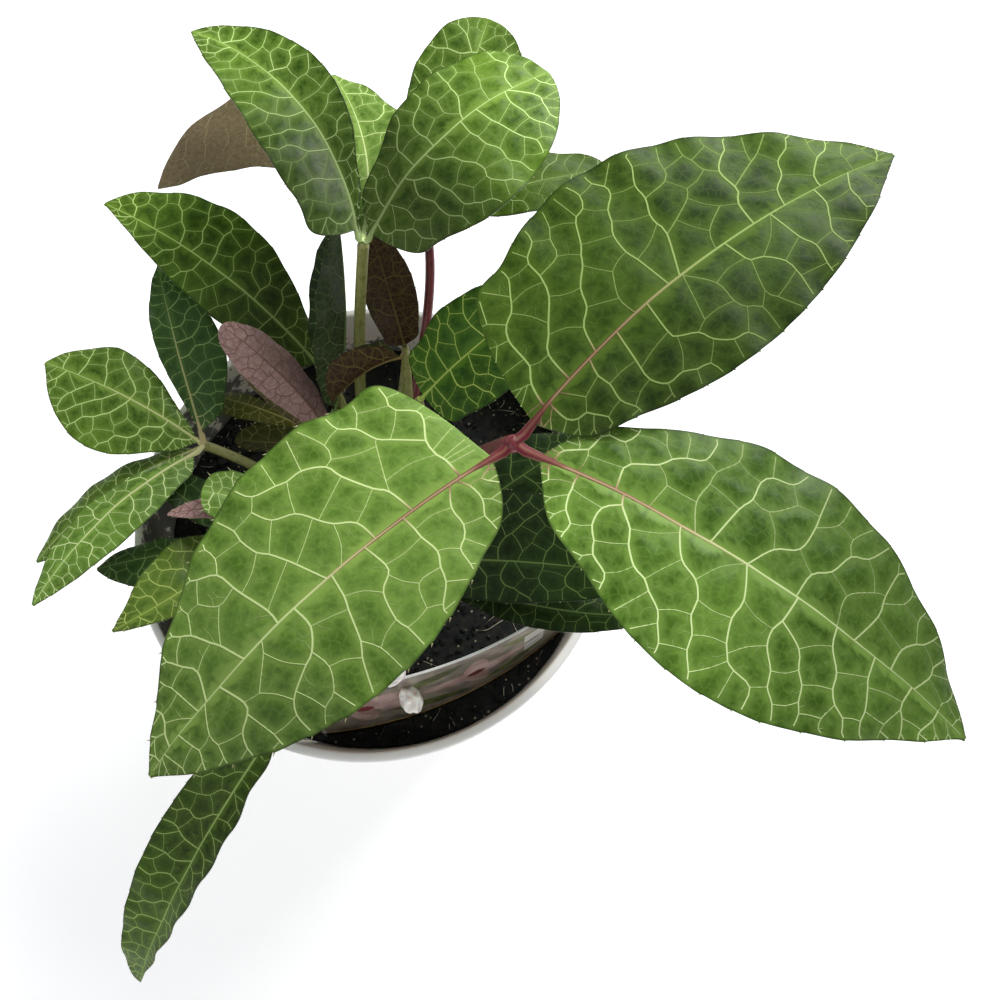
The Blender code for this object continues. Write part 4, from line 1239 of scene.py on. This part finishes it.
def make_crown():
    """The rhizome's top, lumpy, with bud scales round the petioles."""
    foot = SOIL_TOP + SOIL_CROWN + GAP
    middle = Vector((*CROWN_CENTRE, foot))
    bm = bmesh.new()
    rhizome = bmesh.ops.create_icosphere(bm, subdivisions=5, radius=1.0)["verts"]
    for vert in rhizome:
        lump = 1.0 + 0.10 * noise.noise(vert.co * 2.1) + 0.05 * noise.noise(vert.co * 7.0)
        shape = Vector((vert.co.x * CROWN_RADIUS, vert.co.y * CROWN_RADIUS,
                        vert.co.z * CROWN_HEIGHT)) * lump
        shape.z = max(shape.z, -3.0)
        vert.co = (middle + shape) * MM
    rng = random.Random("scales")
    for index in range(22):
        angle = math.tau * index / 22.0 + rng.uniform(-0.1, 0.1)
        reach = rng.uniform(0.55, 0.95) * CROWN_RADIUS
        spot = middle + Vector((reach * math.cos(angle), reach * math.sin(angle), 0.0))
        turn = Matrix.Rotation(angle, 3, "Z") @ Matrix.Rotation(rng.uniform(0.2, 0.7), 3, "Y")
        scale = bmesh.ops.create_icosphere(bm, subdivisions=3, radius=1.0)["verts"]
        tall = rng.uniform(6.0, 10.0)
        for vert in scale:
            taper = 1.0 - 0.7 * max(vert.co.z, 0.0)
            flake = Vector((vert.co.x * 0.7 + 0.9 * vert.co.y ** 2,
                            vert.co.y * 3.0 * taper, vert.co.z * tall))
            vert.co = (spot + turn @ flake) * MM
    bmesh.ops.recalc_face_normals(bm, faces=bm.faces)
    add_piece("rhizome", bm, crown_material(), "crown", "crown", smooth_angle=180.0)


# Picture card
def card_outwards():
    azimuth = math.radians(CARD_AZIMUTH)
    return Vector((math.cos(azimuth), math.sin(azimuth), 0.0))


def card_point(across, height, outwards=0.0):
    """A point of the card: across runs from -1 at the left end to 1, height in millimetres."""
    turn = across * CARD_HALF_WIDTH / CARD_BEND_RADIUS
    lean = CARD_LEAN[0] + (CARD_LEAN[1] - CARD_LEAN[0]) * (across + 1.0) / 2.0
    share = (height - CARD_BOTTOM) / (CARD_TOP - CARD_BOTTOM)
    radial = CARD_DISTANCE - CARD_BEND_RADIUS * (1.0 - math.cos(turn)) - lean * share + outwards
    facing = card_outwards()
    along = Vector((-facing.y, facing.x, 0.0))
    place = facing * radial + along * CARD_BEND_RADIUS * math.sin(turn)
    return (place + Vector((0.0, 0.0, height))) * MM


def print_material(name, low, high, roughness=0.32):
    """Glossy offset print on a polypropylene card. It gives the eye a soft mottle of the ink
    under a smooth film."""
    made, tree, shader = new_material("card_print_" + name, roughness, IOR=1.49,
                                      Coat_Weight=0.5, Coat_Roughness=0.15)
    place = add_node(tree, "TexCoord", None, None, "Object")
    soft = add_node(tree, "TexNoise", None, {"Vector": place, "Scale": 130.0, "Detail": 4.0})
    dots = add_node(tree, "TexNoise", None, {"Vector": place, "Scale": 1600.0, "Detail": 2.0})
    amount = add_node(tree, "MapRange", SOFT_STEP, {"Value": soft, "From Min": 0.36,
                                                    "From Max": 0.64})
    shade = add_node(tree, "MapRange", None, {"Value": dots, "From Min": 0.3, "From Max": 0.7,
                                              "To Min": 0.93, "To Max": 1.05})
    colour = add_node(tree, "Mix", COLOUR_MIX, {0: amount, 6: linear(low), 7: linear(high)}, 2)
    colour = add_node(tree, "Mix", TINT, {0: 1.0, 6: colour, 7: shade}, 2)
    finish_material(tree, shader, colour, dots, 0.1, 0.03)
    return made


def add_plate(bm, across, height, columns, rows, low, high, outline=None):
    """A closed plate that follows the card, from low to high in front of its back. outline
    moves a place of the plate, each from -1 to 1, before it is laid on the card."""
    made = bmesh.ops.create_grid(bm, x_segments=columns, y_segments=rows, size=1.0)
    faces = list({face for vert in made["verts"] for face in vert.link_faces})
    for vert in made["verts"]:
        a, b = vert.co.x, vert.co.y
        if outline:
            a, b = outline(a, b)
        vert.co = Vector((a, b, 0.0))
    grown = bmesh.ops.extrude_face_region(bm, geom=faces, use_keep_orig=True)
    front = [item for item in grown["geom"] if isinstance(item, bmesh.types.BMVert)]
    for verts, outwards in ((made["verts"], low), (front, high)):
        for vert in verts:
            a = across[0] + (across[1] - across[0]) * (vert.co.x + 1.0) / 2.0
            z = height[0] + (height[1] - height[0]) * (vert.co.y + 1.0) / 2.0
            vert.co = card_point(a, z, outwards)


def petal(turn, size, centre, aspect):
    """An outline for add_plate: a pointed petal turned about its middle."""
    def place(a, b):
        wide = b * (1.0 - a * a) ** 0.75 * aspect
        x = a * math.cos(turn) - wide * math.sin(turn)
        y = a * math.sin(turn) + wide * math.cos(turn)
        return (centre[0] + x * size[0], centre[1] + y * size[1])
    return place


# The card's print, generic blooms and leaves: for each, its middle from -1 to 1 on the card,
# its turn in degrees, its length and its breadth as a share of that.
CARD_PETALS = [(-0.62, 0.10, 70, 0.26, 0.42), (-0.45, 0.28, 15, 0.26, 0.42),
               (-0.40, -0.12, -35, 0.25, 0.42), (-0.63, -0.30, -80, 0.22, 0.42),
               (-0.83, -0.05, 170, 0.22, 0.42), (0.22, 0.22, 80, 0.24, 0.40),
               (0.38, 0.02, 5, 0.25, 0.40), (0.22, -0.20, -75, 0.22, 0.40),
               (0.05, 0.02, 178, 0.24, 0.40)]
CARD_LEAVES = [(-0.15, -0.55, 160, 0.30, 0.30), (0.55, -0.50, 20, 0.30, 0.28),
               (-0.10, 0.58, 25, 0.26, 0.30), (0.62, 0.55, 150, 0.22, 0.30)]
CARD_HEARTS = [(-0.61, -0.03, 0, 0.075, 0.9), (0.22, 0.01, 0, 0.07, 0.9)]
CARD_BOXES = [(0.70, 0.36), (0.70, -0.14)]


def make_card():
    """The bent card: white sheet, printed ground, border lines and generic blooms."""
    half = CARD_THICKNESS / 2.0
    sheet = print_material("white_sheet", "#e4e3df", "#efeeea")
    bm = bmesh.new()
    add_plate(bm, (-1.0, 1.0), (CARD_BOTTOM, CARD_TOP), 48, 24, -half, half)
    bmesh.ops.recalc_face_normals(bm, faces=bm.faces)
    add_piece("card_sheet", bm, sheet, "card", "picture_card", smooth_angle=40.0)

    bm = bmesh.new()
    add_plate(bm, (-0.97, 0.985), (CARD_BOTTOM + 12.5, CARD_TOP - 1.1), 48, 24, half - 0.1,
              half + 0.04)
    bmesh.ops.recalc_face_normals(bm, faces=bm.faces)
    add_piece("card_ground", bm, print_material("taupe_ground", "#756c62", "#a39888"), "card",
              smooth_angle=40.0)

    bm = bmesh.new()
    add_plate(bm, (-0.99, 0.99), (CARD_BOTTOM + 0.5, CARD_BOTTOM + 11.6), 48, 4, half - 0.1,
              half + 0.04)
    bmesh.ops.recalc_face_normals(bm, faces=bm.faces)
    add_piece("card_foot", bm, print_material("black_foot", "#14140f", "#24221b"), "card",
              smooth_angle=40.0)

    bm = bmesh.new()
    add_plate(bm, (-0.97, 0.985), (CARD_BOTTOM + 11.6, CARD_BOTTOM + 12.5), 48, 1, half - 0.1,
              half + 0.08)
    bmesh.ops.recalc_face_normals(bm, faces=bm.faces)
    add_piece("card_line", bm, print_material("golden_line", "#b98f3c", "#d9b45e"), "card",
              smooth_angle=40.0)

    span = ((-1.0, 1.0), (CARD_BOTTOM + 12.6, CARD_TOP - 1.3))
    shapes = (
        ("card_blooms", CARD_PETALS, ("rose_petals", "#a5837c", "#cbaea5"), 0.08),
        ("card_foliage", CARD_LEAVES, ("olive_leaves", "#4a5230", "#77804a"), 0.07),
        ("card_hearts", CARD_HEARTS, ("dark_hearts", "#5a1f22", "#83343a"), 0.12),
    )
    for name, table, inks, high in shapes:
        bm = bmesh.new()
        for x, y, turn, size, aspect in table:
            outline = petal(math.radians(turn), (size, size * 1.75), (x, y), aspect)
            add_plate(bm, *span, 14, 6, half - 0.1, half + high, outline)
        bmesh.ops.remove_doubles(bm, verts=bm.verts, dist=0.001 * MM)
        bmesh.ops.recalc_face_normals(bm, faces=bm.faces)
        add_piece(name, bm, print_material(*inks), "card", smooth_angle=40.0)
    bm = bmesh.new()
    for x, y in CARD_BOXES:
        middle = (span[1][0] + span[1][1]) / 2.0
        rise = (span[1][1] - span[1][0]) / 2.0
        add_plate(bm, (x - 0.085, x + 0.085), (middle + (y - 0.2) * rise,
                                               middle + (y + 0.2) * rise), 6, 4, half - 0.1,
                  half + 0.09)
    bmesh.ops.recalc_face_normals(bm, faces=bm.faces)
    add_piece("card_boxes", bm, print_material("pale_boxes", "#cfcdc4", "#e2dfd6"), "card",
              smooth_angle=40.0)


def glue_material():
    """Hardened hot-melt glue: milky, glossy, a little translucent and unevenly set."""
    made, tree, shader = new_material("hardened_hot_melt_glue", 0.22, IOR=1.48,
                                      Subsurface_Weight=0.35, Subsurface_Scale=2.0 * MM)
    place = add_node(tree, "TexCoord", None, None, "Object")
    milk = add_node(tree, "TexNoise", None, {"Vector": place, "Scale": 420.0, "Detail": 3.0})
    amount = add_node(tree, "MapRange", SOFT_STEP, {"Value": milk, "From Min": 0.35,
                                                    "From Max": 0.65})
    colour = add_node(tree, "Mix", COLOUR_MIX, {0: amount, 6: linear("#e6e0d6"),
                                                7: linear("#faf8f0")}, 2)
    finish_material(tree, shader, colour, milk, 0.25, 0.3)
    return made


def make_glue_dab(name, across, height, size, outwards, finish):
    """A flattened drop; size is its thickness, width and height as radii."""
    bm = bmesh.new()
    verts = bmesh.ops.create_icosphere(bm, subdivisions=5, radius=1.0)["verts"]
    for vert in verts:
        vert.co *= 1.0 + 0.22 * noise.noise(vert.co * 1.9 + Vector((height, 0.0, 0.0)))
    turn = Matrix.Rotation(math.radians(CARD_AZIMUTH), 4, "Z")
    stretch = Matrix.Diagonal((size[0] * MM, size[1] * MM, size[2] * MM, 1.0))
    place = Matrix.Translation(card_point(across, height, outwards))
    bmesh.ops.transform(bm, matrix=place @ turn @ stretch, verts=bm.verts)
    add_piece(name, bm, finish, "glue", name.replace("drop", "dab"), smooth_angle=180.0)


def floor_material():
    """Plain matt acrylic of a light table: near white, softly lit from below, with a very
    faint tooth."""
    made, tree, shader = new_material("light_table_acrylic", 0.9, Emission_Strength=0.42,
                                      Emission_Color=linear("#ffffff"))
    place = add_node(tree, "TexCoord", None, None, "Object")
    tooth = add_node(tree, "TexNoise", None, {"Vector": place, "Scale": 900.0, "Detail": 2.0})
    colour = add_node(tree, "Mix", COLOUR_MIX, {0: tooth, 6: linear("#f6f6f5"),
                                                7: linear("#fbfbfa")}, 2)
    finish_material(tree, shader, colour, tooth, 0.05, 0.05)
    return made


def add_light(name, place, aim, size, power, colour="#ffffff"):
    """A soft box at a place in metres, turned to the point it lights."""
    data = bpy.data.lights.new(name, "AREA")
    data.shape, data.size, data.size_y = "RECTANGLE", size[0], size[1]
    data.energy, data.color = power, linear(colour)[:3]
    lamp = bpy.data.objects.new(name, data)
    lamp.location = place
    lamp.rotation_euler = (Vector(aim) - Vector(place)).to_track_quat("-Z", "Y").to_euler()
    bpy.context.scene.collection.objects.link(lamp)


def make_studio():
    """White floor, soft light and the camera above the plant."""
    bm = bmesh.new()
    bmesh.ops.create_grid(bm, x_segments=4, y_segments=4, size=3.0)
    mesh = bpy.data.meshes.new("floor")
    bm.to_mesh(mesh)
    bm.free()
    floor = bpy.data.objects.new("floor", mesh)
    bpy.context.scene.collection.objects.link(floor)
    mesh.materials.append(floor_material())

    scene = bpy.context.scene
    world = bpy.data.worlds.new("studio")
    scene.world = world
    world.use_nodes = True
    background = world.node_tree.nodes["Background"]
    background.inputs["Color"].default_value = linear("#f7f9ff")
    background.inputs["Strength"].default_value = WORLD_LIGHT
    for light in LIGHTS:
        add_light(*light)

    data = bpy.data.cameras.new("camera")
    data.lens, data.sensor_width = 36.0, 36.0
    data.clip_start, data.clip_end = 0.01, 10.0
    camera = bpy.data.objects.new("camera", data)
    camera.location = (0.046, -0.112, 0.489)
    camera.rotation_euler = (math.radians(19.0), 0.0, 0.0)
    scene.collection.objects.link(camera)
    scene.camera = camera
    scene.view_settings.view_transform = "Standard"


WORLD_LIGHT = 0.42
LIGHTS = [
    ("key_soft_box", (0.7, 0.95, 1.15), (0.0, 0.0, 0.2), (0.9, 0.7), 21.0),
    ("fill_soft_box", (-0.6, -0.9, 1.3), (0.0, 0.0, 0.1), (1.4, 1.0), 4.0),
]

tone_finishes = {tone: leaf_material(tone) for tone in LEAF_TONES}
petiole_finishes = {slot: petiole_material(slot) for slot in PETIOLE_TONES}
for leaf_name, leaf in LEAVES.items():
    stalk_slot = "red_petiole" if leaf_name in RED_PETIOLES else "petiole"
    make_petiole(leaf_name, leaf, petiole_finishes[stalk_slot], stalk_slot)
    for part, shape in leaf["leaflets"].items():
        full_name = f"{leaf_name}_{part}"
        make_leaflet(full_name, leaf, shape, tone_finishes[LOOKS[full_name]["tone"]])
make_pot()
make_soil()
make_crown()
make_card()
glue = glue_material()
make_glue_dab("upper_glue_drop", -0.32, CARD_TOP + 4.4, (3.0, 4.5, 4.0), 0.0, glue)
make_glue_dab("lower_glue_drop", -0.28, 159.5, (4.6, 3.6, 7.4), 3.6, glue)
make_studio()
